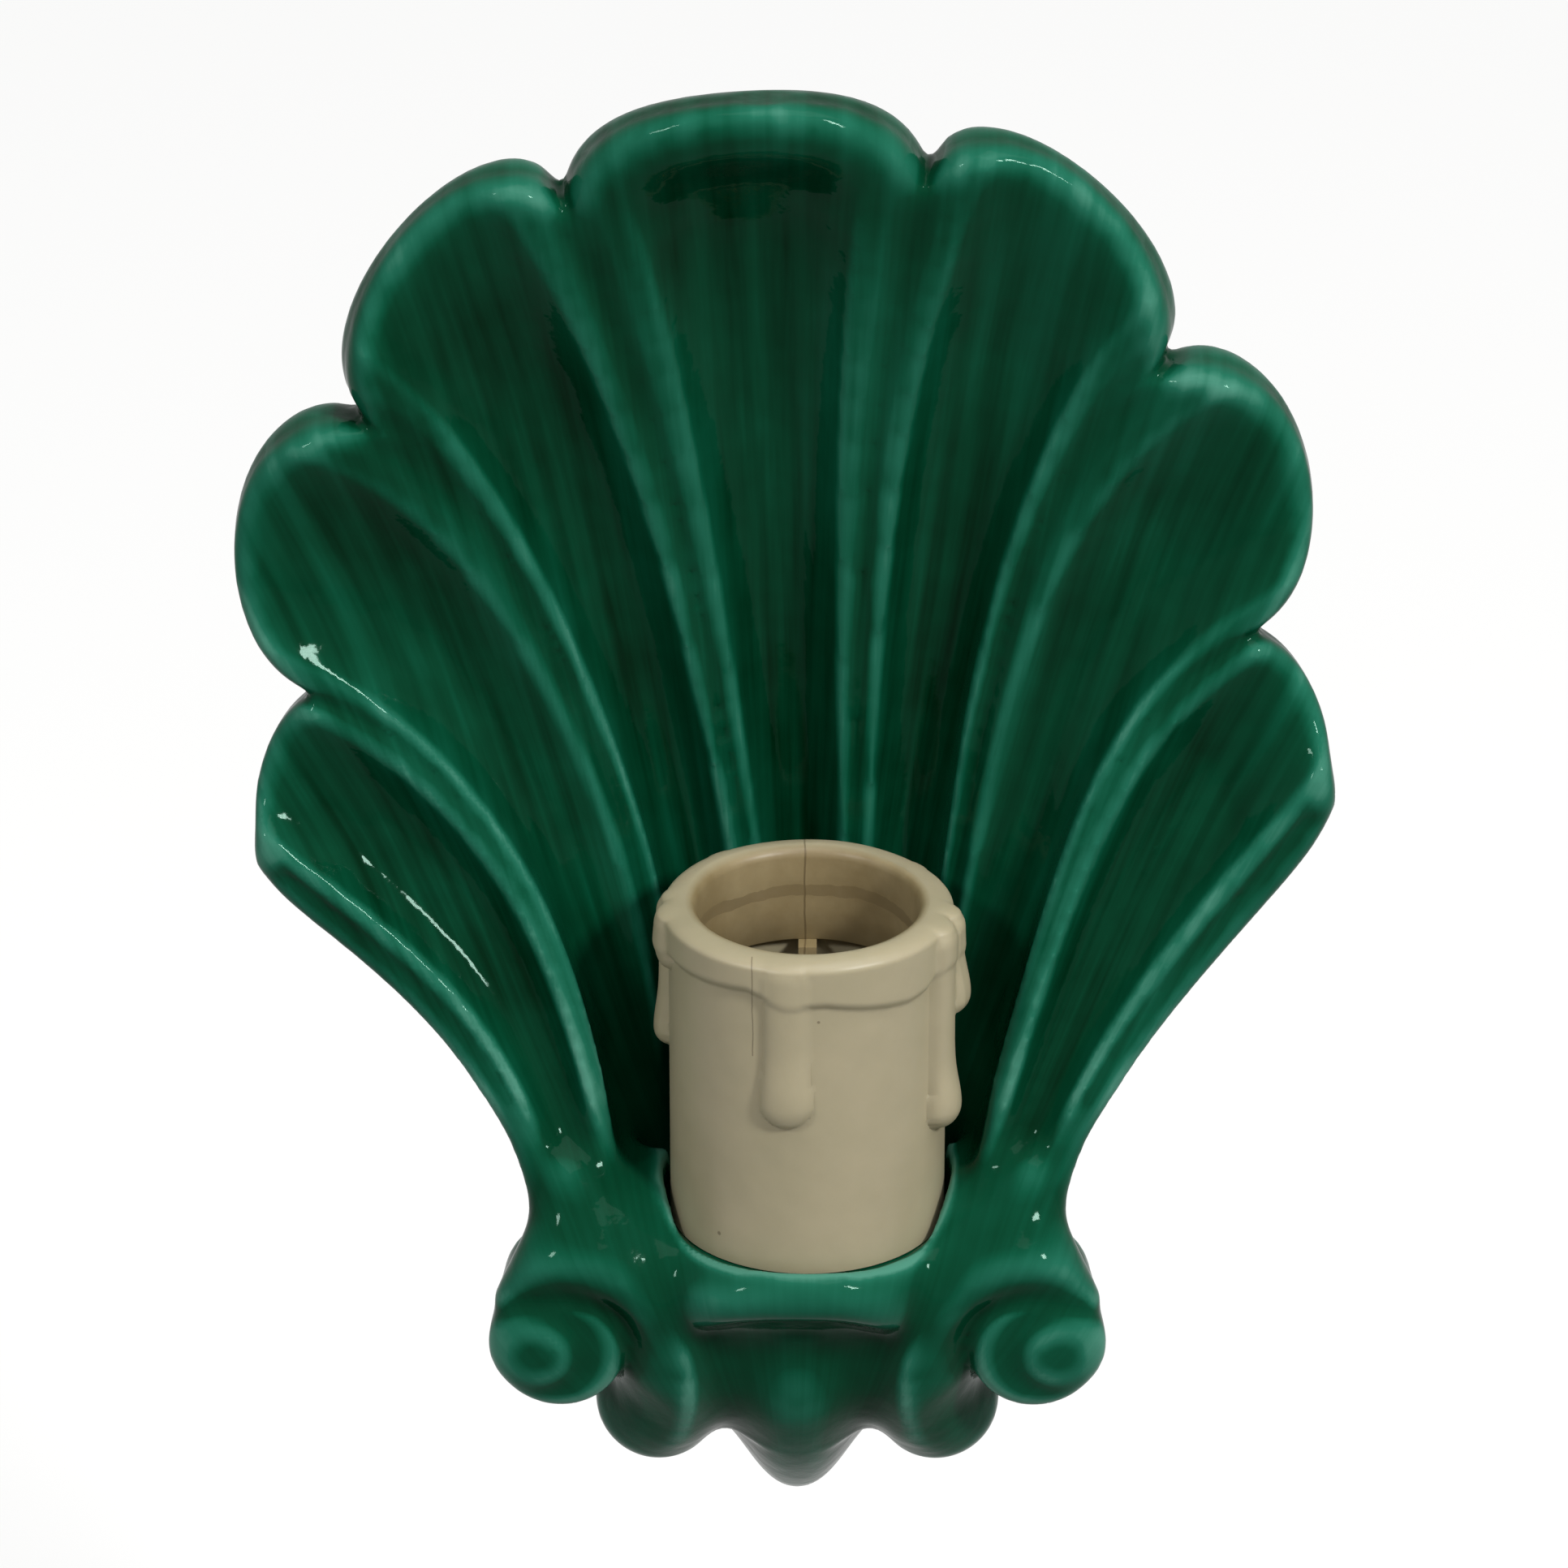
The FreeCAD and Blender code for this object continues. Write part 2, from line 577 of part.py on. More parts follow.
def lead(side):
    """From a holder terminal, bending into the nipple, down it, and back to the terminal block."""
    bend, turn = 2.6, 5.5
    out = Vec(side, 0, 0)
    shift = contact_x - lead_gap
    angle = math.acos(1 - shift / (2 * bend))
    slant_in = out * -math.cos(angle) - UP * math.sin(angle)
    start = at(socket_x, socket_depth, terminal_low) + out * contact_x
    first = start - UP * 0.2
    points = [start, first]
    points += arc_points((first - out * bend, bend), out, out * math.cos(angle) - UP * math.sin(angle), 4)
    second = first - out * (shift - bend) - UP * (2 * bend * math.sin(angle))
    points += arc_points((second, bend), out * -math.cos(angle) + UP * math.sin(angle), out * -1, 4)
    pole = at(socket_x, socket_depth, tray_under - pole_drop) + out * lead_gap
    run = Vec(side * (pole_x - lead_gap), socket_depth - block_far, 0).normalize()
    points.append(pole + UP * turn)
    points += arc_points((pole + UP * turn + run * turn, turn), run * -1, UP * -1, 5)
    points.append(pole + run * ((socket_depth - block_far + 1.5) / run.y))
    return cord_solid(points, lead_r)


NODES = {
    "shell_casting": shell_casting,
    "candle_sleeve": candle_sleeve,
    "holder_cap": holder_cap,
    "holder_skirt": holder_skirt,
    "holder_insert": holder_insert,
    "screw_shell": screw_shell,
    "centre_contact": centre_contact,
    "holder_terminals": holder_terminals,
    "holder_terminal_screws": holder_terminal_screws,
    "seat_washer": lambda: washer(11, 0, seat_washer_top),
    "threaded_nipple": threaded_nipple,
    "fibre_washer": lambda: washer(8.6, strap_top, shelf_under),
    "block_strap": block_strap,
    "steel_washer": lambda: washer(8.4, nut_top, strap_under),
    "lock_nut": lock_nut,
    "terminal_block": terminal_block,
    "block_barrels": block_barrels,
    "block_screws": block_screws,
    "block_bolt": block_bolt,
    "block_nut": block_nut,
    "lead_live": lambda: lead(-1),
    "lead_neutral": lambda: lead(1),
}

os.makedirs("parts", exist_ok=True)
for name, make in NODES.items():
    make().exportStep("parts/" + name + ".step")
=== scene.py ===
"""Shell wall sconce: glazed earthenware shell, cream candle sleeve, small lampholder and what fixes it."""
import json
import math
from functools import partial

import bmesh
import bpy
import numpy as np
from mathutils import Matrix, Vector


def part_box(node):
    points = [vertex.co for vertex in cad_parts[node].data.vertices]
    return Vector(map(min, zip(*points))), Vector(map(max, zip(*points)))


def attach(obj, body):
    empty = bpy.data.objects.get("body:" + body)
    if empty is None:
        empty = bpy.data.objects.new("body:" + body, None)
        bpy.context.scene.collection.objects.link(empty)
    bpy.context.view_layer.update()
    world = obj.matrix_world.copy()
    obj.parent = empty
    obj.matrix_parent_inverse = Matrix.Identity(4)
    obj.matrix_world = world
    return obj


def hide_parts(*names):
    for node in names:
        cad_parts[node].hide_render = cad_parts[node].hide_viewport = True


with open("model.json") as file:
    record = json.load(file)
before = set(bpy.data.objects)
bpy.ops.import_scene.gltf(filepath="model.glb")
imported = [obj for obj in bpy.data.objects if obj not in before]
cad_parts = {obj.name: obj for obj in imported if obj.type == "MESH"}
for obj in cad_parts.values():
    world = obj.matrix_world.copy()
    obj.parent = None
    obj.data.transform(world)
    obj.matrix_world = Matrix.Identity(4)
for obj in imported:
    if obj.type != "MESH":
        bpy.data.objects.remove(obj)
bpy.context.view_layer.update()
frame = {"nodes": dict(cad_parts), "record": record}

MM = 0.001
WELD_GAP = 0.00002
HANG_HEIGHT = 112               # from the shelf, where the sleeve stands, up to the frame's origin in the hanging hole
SOCKET = np.array([1.4, 40.0])  # the lampholder's axis: across, depth in front of the wall


# ---- meshes from points in mm
# Points are (across, depth in front of the wall, height over the shelf).
def placed(points):
    """Points in metres in the sconce's own frame."""
    p = np.asarray(points, float)
    return np.stack([p[..., 0], -p[..., 1], p[..., 2] - HANG_HEIGHT], -1) * MM


def mesh_object(name, corners, faces):
    mesh = bpy.data.meshes.new(name)
    corners = [tuple(c) for c in np.asarray(corners).reshape(-1, 3)]
    mesh.from_pydata(corners, [], [tuple(map(int, f)) for f in faces])
    mesh.update()
    made = bpy.data.objects.new(name, mesh)
    bpy.context.scene.collection.objects.link(made)
    return made


def grid_faces(rows, columns, closed=False):
    """Quads of a sheet of rows x columns corners; closed joins each row's end to its start."""
    faces = []
    for r in range(rows - 1):
        for c in range(columns if closed else columns - 1):
            d = (c + 1) % columns
            faces.append((r * columns + c, r * columns + d, (r + 1) * columns + d, (r + 1) * columns + c))
    return faces


def welded(made):
    """Joins corners that lie on each other and turns all faces outward."""
    shape = bmesh.new()
    shape.from_mesh(made.data)
    bmesh.ops.remove_doubles(shape, verts=shape.verts, dist=WELD_GAP)
    bmesh.ops.recalc_face_normals(shape, faces=shape.faces)
    shape.to_mesh(made.data)
    shape.free()
    return made


def shaped(made):
    """Applies the piece's modifiers to its mesh."""
    made.data = bpy.data.meshes.new_from_object(made.evaluated_get(bpy.context.evaluated_depsgraph_get()))
    made.modifiers.clear()
    return made


def smooth_shaded(made, crease_degrees):
    for face in made.data.polygons:
        face.use_smooth = True
    made.data.set_sharp_from_angle(angle=math.radians(crease_degrees))
    return made


def together(name, pieces, crease_degrees=40):
    """One mesh of several loose pieces."""
    whole = bmesh.new()
    for piece in pieces:
        whole.from_mesh(piece.data)
        bpy.data.objects.remove(piece)
    made = mesh_object(name, [], [])
    whole.to_mesh(made.data)
    whole.free()
    return smooth_shaded(made, crease_degrees)


def cut_from(made, tool):
    cut = made.modifiers.new("cut", "BOOLEAN")
    cut.operation, cut.solver, cut.object = "DIFFERENCE", "MANIFOLD", tool
    shaped(made)
    bpy.data.objects.remove(tool)
    return made


def prism_between(name, rings):
    """A closed solid through rings of points."""
    rings = np.asarray(rings, float)
    count = rings.shape[1]
    faces = grid_faces(len(rings), count, closed=True)
    faces += [tuple(range(count)), tuple(range((len(rings) - 1) * count, len(rings) * count))]
    return welded(mesh_object(name, placed(rings), faces))


AXES = {"up": (0, 1, 2), "out": (0, 2, 1), "across": (1, 2, 0)}


def circle(r, place, at, facing, count):
    """Points round an axis through `at`, at a place along it; r may be one number for each point."""
    first, second, along = AXES[facing]
    a = np.arange(count) * 2 * math.pi / count
    points = np.empty((count, 3))
    points[:, first], points[:, second], points[:, along] = at[0] + r * np.cos(a), at[1] + r * np.sin(a), place
    return points


def read(items, name, width, kind=float):
    """What a mesh holds for each of its items, as one row each."""
    flat = np.empty(len(items) * width, kind)
    items.foreach_get(name, flat)
    return flat.reshape(-1, width)


def spread(values, edges, rounds, strength):
    """Evens out values over neighbouring corners; strength is a number or one number per corner."""
    count = len(values)
    degree = np.bincount(edges.ravel(), minlength=count)[:, None]
    strength = np.broadcast_to(strength, (count,))[:, None]
    for _ in range(rounds):
        total = np.stack([np.bincount(edges.T.ravel(), values[edges[:, ::-1].T.ravel(), c], count)
                          for c in range(values.shape[1])], 1)
        values = values + strength * (total / np.maximum(degree, 1) - values)
    return values


def ease(low, high, x):
    """Rises smoothly from 0 at low to 1 at high."""
    u = np.clip((x - low) / (high - low), 0, 1)
    return u * u * (3 - 2 * u)


# ---- the fluted fan
# A ridge between two flutes is a cubic curve from the foot to its notch in the rim: (across, depth, height).
RIDGES = [
    [(4.5, 16.5, -8), (8.5, 17.5, 50), (10, 16.4, 105), (22.8, 27, 143.8)],
    [(17, 24, -8), (18, 20, 45), (34, 21, 106), (49.7, 28, 116)],
    [(21.5, 52, -10), (31.5, 40, 36), (39, 30, 66), (60, 31, 78)],
    [(33, 51, -10), (33.5, 46, 25), (55, 40, 38), (70, 38, 56)],
]
LOBE_REACH = [(0, -3, 31.5), (7.2, 0, 11.8), (14.4, 0, 6), (4.4, 0, 3)]
LOBE_ROUNDNESS = [0.75, 0.38, 0.44, 0.5]
LIP_CURL = [(0, 6.5, -18.8), (0, 1.5, 0), (0, 1, 0), (0, 0, 0)]
CURL_SHARPNESS = 5
FLUTE_DEPTH_FOOT, FLUTE_DEPTH_MID = 3.0, 6.5
FLUTE_DEPTH_RIM = [0.5, 3.4, 3.4, 3.4]
GROOVE_FOOT, GROOVE_RIM = 0.3, 1.6
RIM_THICKNESS = 12.0
FAN_THICKNESS_FOOT = [11.5, 11, 7, 6]
RIM_BULGE, LIP_BULGE = 3.5, 1.8
RIB_SHARE = 0.26            # of half a flute's width
LEAN_DEGREES, LEAN_PIVOT, LEAN_START, LEAN_FULL = 4.2, 50, 10, 70
LIP_HOLLOW = 2.6            # deeper than the flute, under the centre lobe's curled lip
# Faint ribs that a modeller's tool left along the flutes: for each flute, (place across it, height).
MARKS = {-3: [(0.05, 0.3)], -2: [(-0.08, 0.35), (0.17, 0.3)], -1: [(-0.14, 0.3)], 0: [(0.2, 0.3)],
         1: [(-0.16, 0.35)], 2: [(0.04, 0.3)], 3: [(-0.05, 0.45)]}
MARK_WIDTH = 0.035
FLUTES = range(-3, 4)


def unit(v):
    return v / np.maximum(np.linalg.norm(v, axis=-1, keepdims=True), 1e-9)


def ridge(number, v):
    """The ridge right of flute `number`, v running from 0 at the foot to 1. Number -4 is the fan's left edge."""
    mirrored = number < 0
    a, b, c, d = np.array(RIDGES[-number - 1 if mirrored else number], float)
    v = np.asarray(v, float)[..., None]
    w = 1 - v
    p = a * w ** 3 + b * (3 * w * w * v) + c * (3 * w * v * v) + d * v ** 3
    return p * [-1 if mirrored else 1, -1, 1]


def lobe_vector(k, sizes):
    across, depth, height = sizes[abs(k)]
    return np.array([-across if k < 0 else across, -depth, height], float)


def sheet(k, t, v):
    """The smooth sheet through the ridges of flute k: t runs across it from -0.5 to 0.5, v up it."""
    t, v = t[..., None], v[..., None]
    base = ridge(k - 1, v[..., 0]) * (0.5 - t) + ridge(k, v[..., 0]) * (0.5 + t)
    reach = lobe_vector(k, LOBE_REACH) * v ** 3 * np.maximum(0, 1 - 4 * t * t) ** LOBE_ROUNDNESS[abs(k)]
    return base + reach + lobe_vector(k, LIP_CURL) * v ** CURL_SHARPNESS * (1 - 4 * t * t)


def directions(k, t, v):
    """Unit directions up the sheet and into the clay, within one flute."""
    step = 0.02
    up = unit(sheet(k, t, np.minimum(1, v + step)) - sheet(k, t, np.maximum(0, v - step)))
    return up, unit(np.cross(up, ridge(k, v) - ridge(k - 1, v)))


def shared_directions(k, t, v):
    """The same, turning into the mean of both flutes' directions at the ridge between them."""
    up, inward = directions(k, t, v)
    for side in (-1, 1):
        if k + side not in FLUTES:
            continue
        there = directions(k + side, np.full_like(t, -0.5 * side), v)
        w = np.where(t * side > 0, np.abs(2 * t) ** 3 / 2, 0)[..., None]
        up, inward = up * (1 - w) + there[0] * w, inward * (1 - w) + there[1] * w
    return unit(up), unit(inward)


def thickness(k, t, v):
    left, right = [FAN_THICKNESS_FOOT[-n - 1 if n < 0 else n] for n in (k - 1, k)]
    at_foot = left * (0.5 - t) + right * (0.5 + t)
    return at_foot + (RIM_THICKNESS - at_foot) * ease(0.2, 1.0, v)


def front_sink(k, t, v):
    """How deep the front lies under the ridge crests: the flute, and the groove along the middle of each rib."""
    s = np.abs(2 * t)
    depth = FLUTE_DEPTH_FOOT + (FLUTE_DEPTH_MID - FLUTE_DEPTH_FOOT) * ease(0, 0.45, v)
    depth = depth + (FLUTE_DEPTH_RIM[abs(k)] - FLUTE_DEPTH_MID) * ease(0.75, 1.0, v)
    if k == 0:
        depth = depth + LIP_HOLLOW * ease(0.78, 0.9, v) * (1 - ease(0.93, 1.0, v))
    depth = np.minimum(depth, thickness(k, t, v) / 2)
    inner = s / (1 - RIB_SHARE)
    flute = np.where(inner < 1, depth * (1 - np.minimum(inner, 1) ** 2.5), 0)
    edge = np.maximum(0, (s - (1 - RIB_SHARE / 2)) / (RIB_SHARE / 2))
    groove = (GROOVE_FOOT + (GROOVE_RIM - GROOVE_FOOT) * v) * edge ** 2
    return flute + groove + modelling_marks(k, t, v)


def modelling_marks(k, t, v):
    """The marks stand proud, so they sink less than nought, and fade out at the foot and before the rim."""
    fade = ease(0.05, 0.3, v) * (1 - ease(0.72, 0.93, v))
    return -sum(height * np.exp(-((t - place) / MARK_WIDTH) ** 2) for place, height in MARKS[k]) * fade


def front(k, t, v):
    return sheet(k, t, v) + shared_directions(k, t, v)[1] * front_sink(k, t, v)[..., None]


def back(k, t, v):
    half = np.full_like(t, 0.5)
    left, right = shared_directions(k, -half, v)[1], shared_directions(k, half, v)[1]
    inward = unit(left * (0.5 - t[..., None]) + right * (0.5 + t[..., None]))
    return sheet(k, t, v) + inward * thickness(k, t, v)[..., None]


def rim(k, t, v, angle):
    """The half ellipse that rounds the rim from the front (0 degrees) to the back (180 degrees)."""
    push = shared_directions(k, t, v)[0] * v[..., None] ** 12
    outward = unit(ridge(k, v) - ridge(k - 1, v)) * (np.copysign(1, t) * np.abs(2 * t) ** 8)[..., None]
    if abs(k) == 3:
        push = push + np.where((t * k > 0)[..., None], outward, 0)
    share = (1 - math.cos(math.radians(angle))) / 2
    through = front(k, t, v) * (1 - share) + back(k, t, v) * share
    bulge = RIM_BULGE + (LIP_BULGE * (1 - 4 * t * t) if k == 0 else 0 * t)
    fullness = math.sin(math.radians(angle)) ** 0.8 * (1 + 0.5 * max(0, math.cos(math.radians(angle))))
    return through + unit(push) * (bulge * fullness)[..., None]


def leaned(p):
    """Turns the fan to the left about a point over the foot, easing in over its lower part."""
    s = np.sin(np.radians(LEAN_DEGREES)) * ease(LEAN_START, LEAN_FULL, p[..., 2])
    return np.stack([p[..., 0] - (p[..., 2] - LEAN_PIVOT) * s, -p[..., 1], p[..., 2] + p[..., 0] * s], -1)


def fan():
    across = np.concatenate([np.linspace(-0.5, -0.36, 10)[:-1], np.linspace(-0.36, 0.36, 27),
                             np.linspace(0.36, 0.5, 10)[1:]])
    along = np.concatenate([np.linspace(0, 0.8, 46)[:-1], np.linspace(0.8, 1, 22)])
    angles = np.linspace(0, 180, 13)[1:-1]
    sheets = []
    for k in FLUTES:
        t, v = np.meshgrid(across, along)
        rows = [front(k, t, v), *(rim(k, t[:1], np.ones_like(t[:1]), a) for a in angles), back(k, t, v)[::-1]]
        sheets.append(np.concatenate([*rows, rows[0][:1]]))
    for k in (-3, 3):
        t = np.full((1, len(along)), math.copysign(0.5, k))
        v = along[None]
        rows = np.concatenate([front(k, t, v)] + [rim(k, t, v, a) for a in angles] + [back(k, t, v)])
        ends = rows[:, :1]
        middle = np.repeat(ends.mean(0, keepdims=True), len(ends), 0)
        sheets += [rows, np.concatenate([ends, middle], 1)]
    corners, faces, start = [], [], 0
    for points in sheets:
        corners.append(placed(leaned(points)).reshape(-1, 3))
        faces += [tuple(start + n for n in f) for f in grid_faces(*points.shape[:2])]
        start += points.shape[0] * points.shape[1]
    return welded(mesh_object("fan", np.concatenate(corners), faces))


# ---- the scrolled foot, as one field of distances
# Level cuts through the foot where it is hollow: (height, half width, depth at the front).
FOOT = [(-44, 13, 40.5), (-38, 17.5, 46), (-32, 23, 50.5), (-26, 27.5, 54), (-21, 30.5, 56), (-17.5, 32.3, 56),
        (-14, 34, 55), (-9.5, 34.5, 55)]
FOOT_SQUARENESS = 2.7
FOOT_WALL = 6
HOLLOW_LEVEL, SHELF_UNDER = -10, -8      # above the first, the hollow's walls are upright
# The foot's body, and the tongue down its middle: (height, half width, depth at the front).
BODY = [(1.0, 25, 48), (-3, 29, 49), (-6, 31.5, 49.5), (-9.5, 33, 50), (-14, 33.5, 50.5), (-21, 30.5, 51),
        (-26, 27.5, 49), (-32, 23, 45), (-38, 17.5, 40), (-44, 13, 34), (-50, 9, 28), (-54, 5, 23), (-56.5, 1.8, 19)]
FACE = [(-2.2, 18.4, 62.3), (-5, 18.6, 61.4), (-8, 18.4, 58.9), (-11, 18, 56.4), (-15, 17.8, 54.7), (-19, 17.2, 53.8),
        (-24, 16, 52.2), (-29, 13.8, 49.2), (-34, 11, 44.5)]
TONGUE = [(-13, 5, 51), (-17, 8, 54), (-21, 10.2, 55.3), (-26, 11.6, 54.9), (-32, 11.4, 51.6), (-38, 10.4, 47),
          (-44, 9, 41), (-50, 6.6, 34), (-54, 4, 27.5), (-56.5, 1.5, 21)]
# Bars run through (across, depth, height, radius); those of the scrolls are mirrored to the other side.
BAND_END = [(19.2, 46, -16, 6.5), (18.5, 45, -22, 7.2), (18.3, 42.5, -28, 8.2), (20, 38.5, -32, 9.2)]
SHOULDER = [(33, 45.5, 8, 4.6), (30.5, 46, 3, 6.2), (26.5, 47, -1, 7.0), (21, 48.5, -4, 6.5)]
LIP = [(-15.5, 53.5, -8.5, 2.6), (-13, 57.2, -5.6, 2.4), (-9.5, 59.6, -3.7, 2.3), (-5, 60.9, -2.6, 2.2),
       (1, 61.2, -2.1, 2.2), (6, 60.9, -2.6, 2.2), (9.5, 59.4, -4.2, 2.3), (12.5, 57, -6.4, 2.4),
       (15.5, 53, -9.5, 2.6)]
# The scroll round its eye: (degrees from upright towards the middle, radius of the band's crest, the crest's depth).
SCROLL_CENTRE = (33.0, -15.0)
SCROLL_REACH, SCROLL_BACK = 23, 33
CREST = [(-75, 11.5, 54), (-50, 12.6, 55.4), (-28, 13.4, 56.4), (-8, 14.3, 57.2), (12, 14.8, 57.6), (33, 15.3, 57.8),
         (56, 15.8, 57.8), (78, 16.5, 57.6), (98, 17.6, 57.2), (116, 19.4, 55.9), (131, 21.8, 52.6), (144, 25, 47.5),
         (170, 30, 36)]
GROOVE_R, GROOVE_SINK = 9.8, 3.0
# The eye's two steps: (across, depth, height), radius, how far they face sideways, half length, rounding, blend.
EYE_STEPS = [((33.3, 44.0, -14.8), 9.6, 0.06, 12.2, 2.8, 0.7), ((36.1, 46.0, -14.6), 7.0, 0.1, 11.6, 4.2, 1.0)]
# The scroll's outer edge: (height, across).
SCROLL_EDGE = [(-30, 34), (-25, 38.5), (-20, 41.6), (-14, 43.1), (-8, 43), (-3, 41), (2, 38.8), (8, 37)]
RECESS_R = 20.4
# The hanging pad, its hole, and the nipple's hole in the shelf: name, radius, ends, axis, its direction, corners.
WALL_TURNINGS = [("pad", 11, (0, 10), (0, HANG_HEIGHT), "out", 48), ("hole", 3.5, (-2, 9), (0, HANG_HEIGHT), "out", 48),
                 ("nipple_hole", 5.25, (SHELF_UNDER - 2, 3), SOCKET, "up", 64)]
FIELD_STEP, SKIN_STEP = 0.7, 0.75       # spacing of the grids that the skin is drawn over
FULL_CREST, FULL_SWELL = 0.16, 2.2      # mm that a crest, or a wide swell, stands out where its mark reaches 1


def curve_through(stations, steps):
    """Stations along a smooth curve through the given ones."""
    s = np.array([stations[0]] + list(stations) + [stations[-1]], float)
    return [(b * 2 + (c - a) * u + (a * 2 - b * 5 + c * 4 - d) * u ** 2 + (b * 3 - a - c * 3 + d) * u ** 3) / 2
            for a, b, c, d in zip(s, s[1:], s[2:], s[3:]) for u in (n / steps for n in range(steps))] + [s[-1]]


def merged(a, b, blend):
    """Distance to two forms run into each other over a width."""
    h = np.clip(0.5 + 0.5 * (b - a) / blend, 0, 1)
    return b * (1 - h) + a * h - blend * h * (1 - h)


def carved(a, b, blend):
    """Solid a less solid b, with a rounded edge."""
    return -merged(-a, b, blend)


def round_bar(p, stations):
    """Distance to a bar through (across, depth, height, radius) stations."""
    result = np.full(p.shape[:-1], 1e3)
    for a, b in zip(stations, stations[1:]):
        a, b = np.asarray(a, float), np.asarray(b, float)
        run = b[:3] - a[:3]
        u = np.clip(((p - a[:3]) @ run) / (run @ run), 0, 1)
        distance = np.linalg.norm(p - a[:3] - u[..., None] * run, axis=-1) - (a[3] + (b[3] - a[3]) * u)
        result = np.minimum(result, distance)
    return result


def disc(p, centre, r, facing, half, rounding):
    """A flat round button facing a direction, with rounded edges."""
    facing = unit(np.array(facing, float))
    q = p - np.array(centre, float)
    along = q @ facing
    radial = np.linalg.norm(q - along[..., None] * facing, axis=-1)
    a, b = radial - (r - rounding), np.abs(along) - (half - rounding)
    return np.minimum(np.maximum(a, b), 0) + np.hypot(np.maximum(a, 0), np.maximum(b, 0)) - rounding


def level_cuts(p, levels, n, base=0.0):
    """Distance to a form given by level cuts, each a squared half ellipse standing out from a depth."""
    levels = np.array(curve_through(levels[::-1], 6))
    half = np.interp(p[..., 2], levels[:, 0], levels[:, 1])
    reach = np.interp(p[..., 2], levels[:, 0], levels[:, 2]) - base
    cut = (np.abs(p[..., 0] / half) ** n + np.abs((p[..., 1] - base) / reach) ** n) ** (1 / n)
    ends = np.maximum(levels[0, 0] - p[..., 2], p[..., 2] - levels[-1, 0])
    return np.maximum((cut - 1) * np.minimum(half, reach) * 0.9, ends)


def scroll_front(p, side):
    """The scroll's front: it rises from a groove round the eye to the band's crest, and rounds off beyond it."""
    x, up = SCROLL_CENTRE[0] - side * p[..., 0], p[..., 2] - SCROLL_CENTRE[1]
    around, r = np.degrees(np.arctan2(x, up)), np.hypot(x, up)
    around = np.where(around < -120, around + 360, around)
    turn, crest_r, crest = np.array(curve_through(CREST, 4)).T
    crest_r, crest = np.interp(around, turn, crest_r), np.interp(around, turn, crest)
    rise = GROOVE_SINK * np.clip(1 - (r - GROOVE_R) / (crest_r - GROOVE_R), 0, 1) ** 2.8
    past = np.maximum(r - crest_r, 0)
    front = crest - rise - 1.15 * (np.sqrt(past ** 2 + 0.3) - math.sqrt(0.3))
    edge = side * p[..., 0] - np.interp(p[..., 2], *np.array(SCROLL_EDGE, float).T)
    edge = edge + 0.35 * np.maximum(0, 50 - p[..., 1])
    keep = np.maximum(np.maximum(edge, np.hypot(x - 6, up) - SCROLL_REACH), SCROLL_BACK - p[..., 1])
    return -merged(-(p[..., 1] - front) * 0.75, -keep, 3.5)


def foot_field(p):
    x, depth, height = p[..., 0], p[..., 1], p[..., 2]
    solid = carved(level_cuts(p, BODY, FOOT_SQUARENESS), 1.0 - height, 2.0)
    for side in (-1, 1):
        for stations, steps, blend in ((SHOULDER, 5, 4.0), (BAND_END, 3, 3.0)):
            bar = round_bar(p, [(side * a, b, c, r) for a, b, c, r in curve_through(stations, steps)])
            solid = merged(solid, bar, blend)
        solid = merged(solid, scroll_front(p, side), 2.0)
        for (a, b, c), r, outward, half, rounding, blend in EYE_STEPS:
            solid = merged(solid, disc(p, (side * a, b, c), r, (side * outward, 1, 0.0), half, rounding), blend)
    solid = merged(solid, level_cuts(p, FACE, 5.0, 26.0), 3.0)
    solid = merged(solid, level_cuts(p, TONGUE, 2.4, 14.0), 2.0)
    solid = merged(solid, disc(p, (SOCKET[0], SOCKET[1], -2.0), 22.6, (0, 0, 1), 2.9, 1.4), 2.5)
    solid = merged(solid, round_bar(p, curve_through(LIP, 4)), 3.5)
    recess = np.maximum(np.hypot(x - SOCKET[0], depth - SOCKET[1]) - RECESS_R, -height)
    solid = carved(solid, recess, 1.2)
    return np.maximum(solid, -depth)


def skin_of(field, low, step):
    """Quads round the solid where a grid of distances is below nought."""
    places, owners, quads = [], [], []
    for axis in range(3):
        f0, f1 = (np.take(field, range(n, field.shape[axis] - 1 + n), axis) for n in (0, 1))
        found = np.argwhere((f0 < 0) != (f1 < 0))
        a, b = f0[tuple(found.T)], f1[tuple(found.T)]
        place = found.astype(float)
        place[:, axis] += a / (a - b)
        side, over = (axis + 1) % 3, (axis + 2) % 3
        ring = []
        for left, down in ((0, 0), (1, 0), (1, 1), (0, 1)):
            cell = found.copy()
            cell[:, side] -= left
            cell[:, over] -= down
            ring.append(np.ravel_multi_index(cell.T, field.shape))
            places.append(place)
            owners.append(ring[-1])
        ring = np.stack(ring, 1)
        quads.append(np.where((a < 0)[:, None], ring, ring[:, ::-1]))
    owners, places, quads = np.concatenate(owners), np.concatenate(places), np.concatenate(quads)
    cells, index = np.unique(owners, return_inverse=True)
    count = np.bincount(index)
    corners = np.stack([np.bincount(index, places[:, c]) / count for c in range(3)], 1)
    return corners * step + low, np.searchsorted(cells, quads)


def foot():
    low, high = np.array([-48.0, -1.4, -60.0]), np.array([48.0, 70.0, 16.0])
    axes = [np.arange(a, b, FIELD_STEP) for a, b in zip(low, high)]
    p = np.stack(np.meshgrid(*axes, indexing="ij"), -1)
    corners, quads = skin_of(foot_field(p), low, FIELD_STEP)
    return welded(mesh_object("foot", placed(corners), quads))


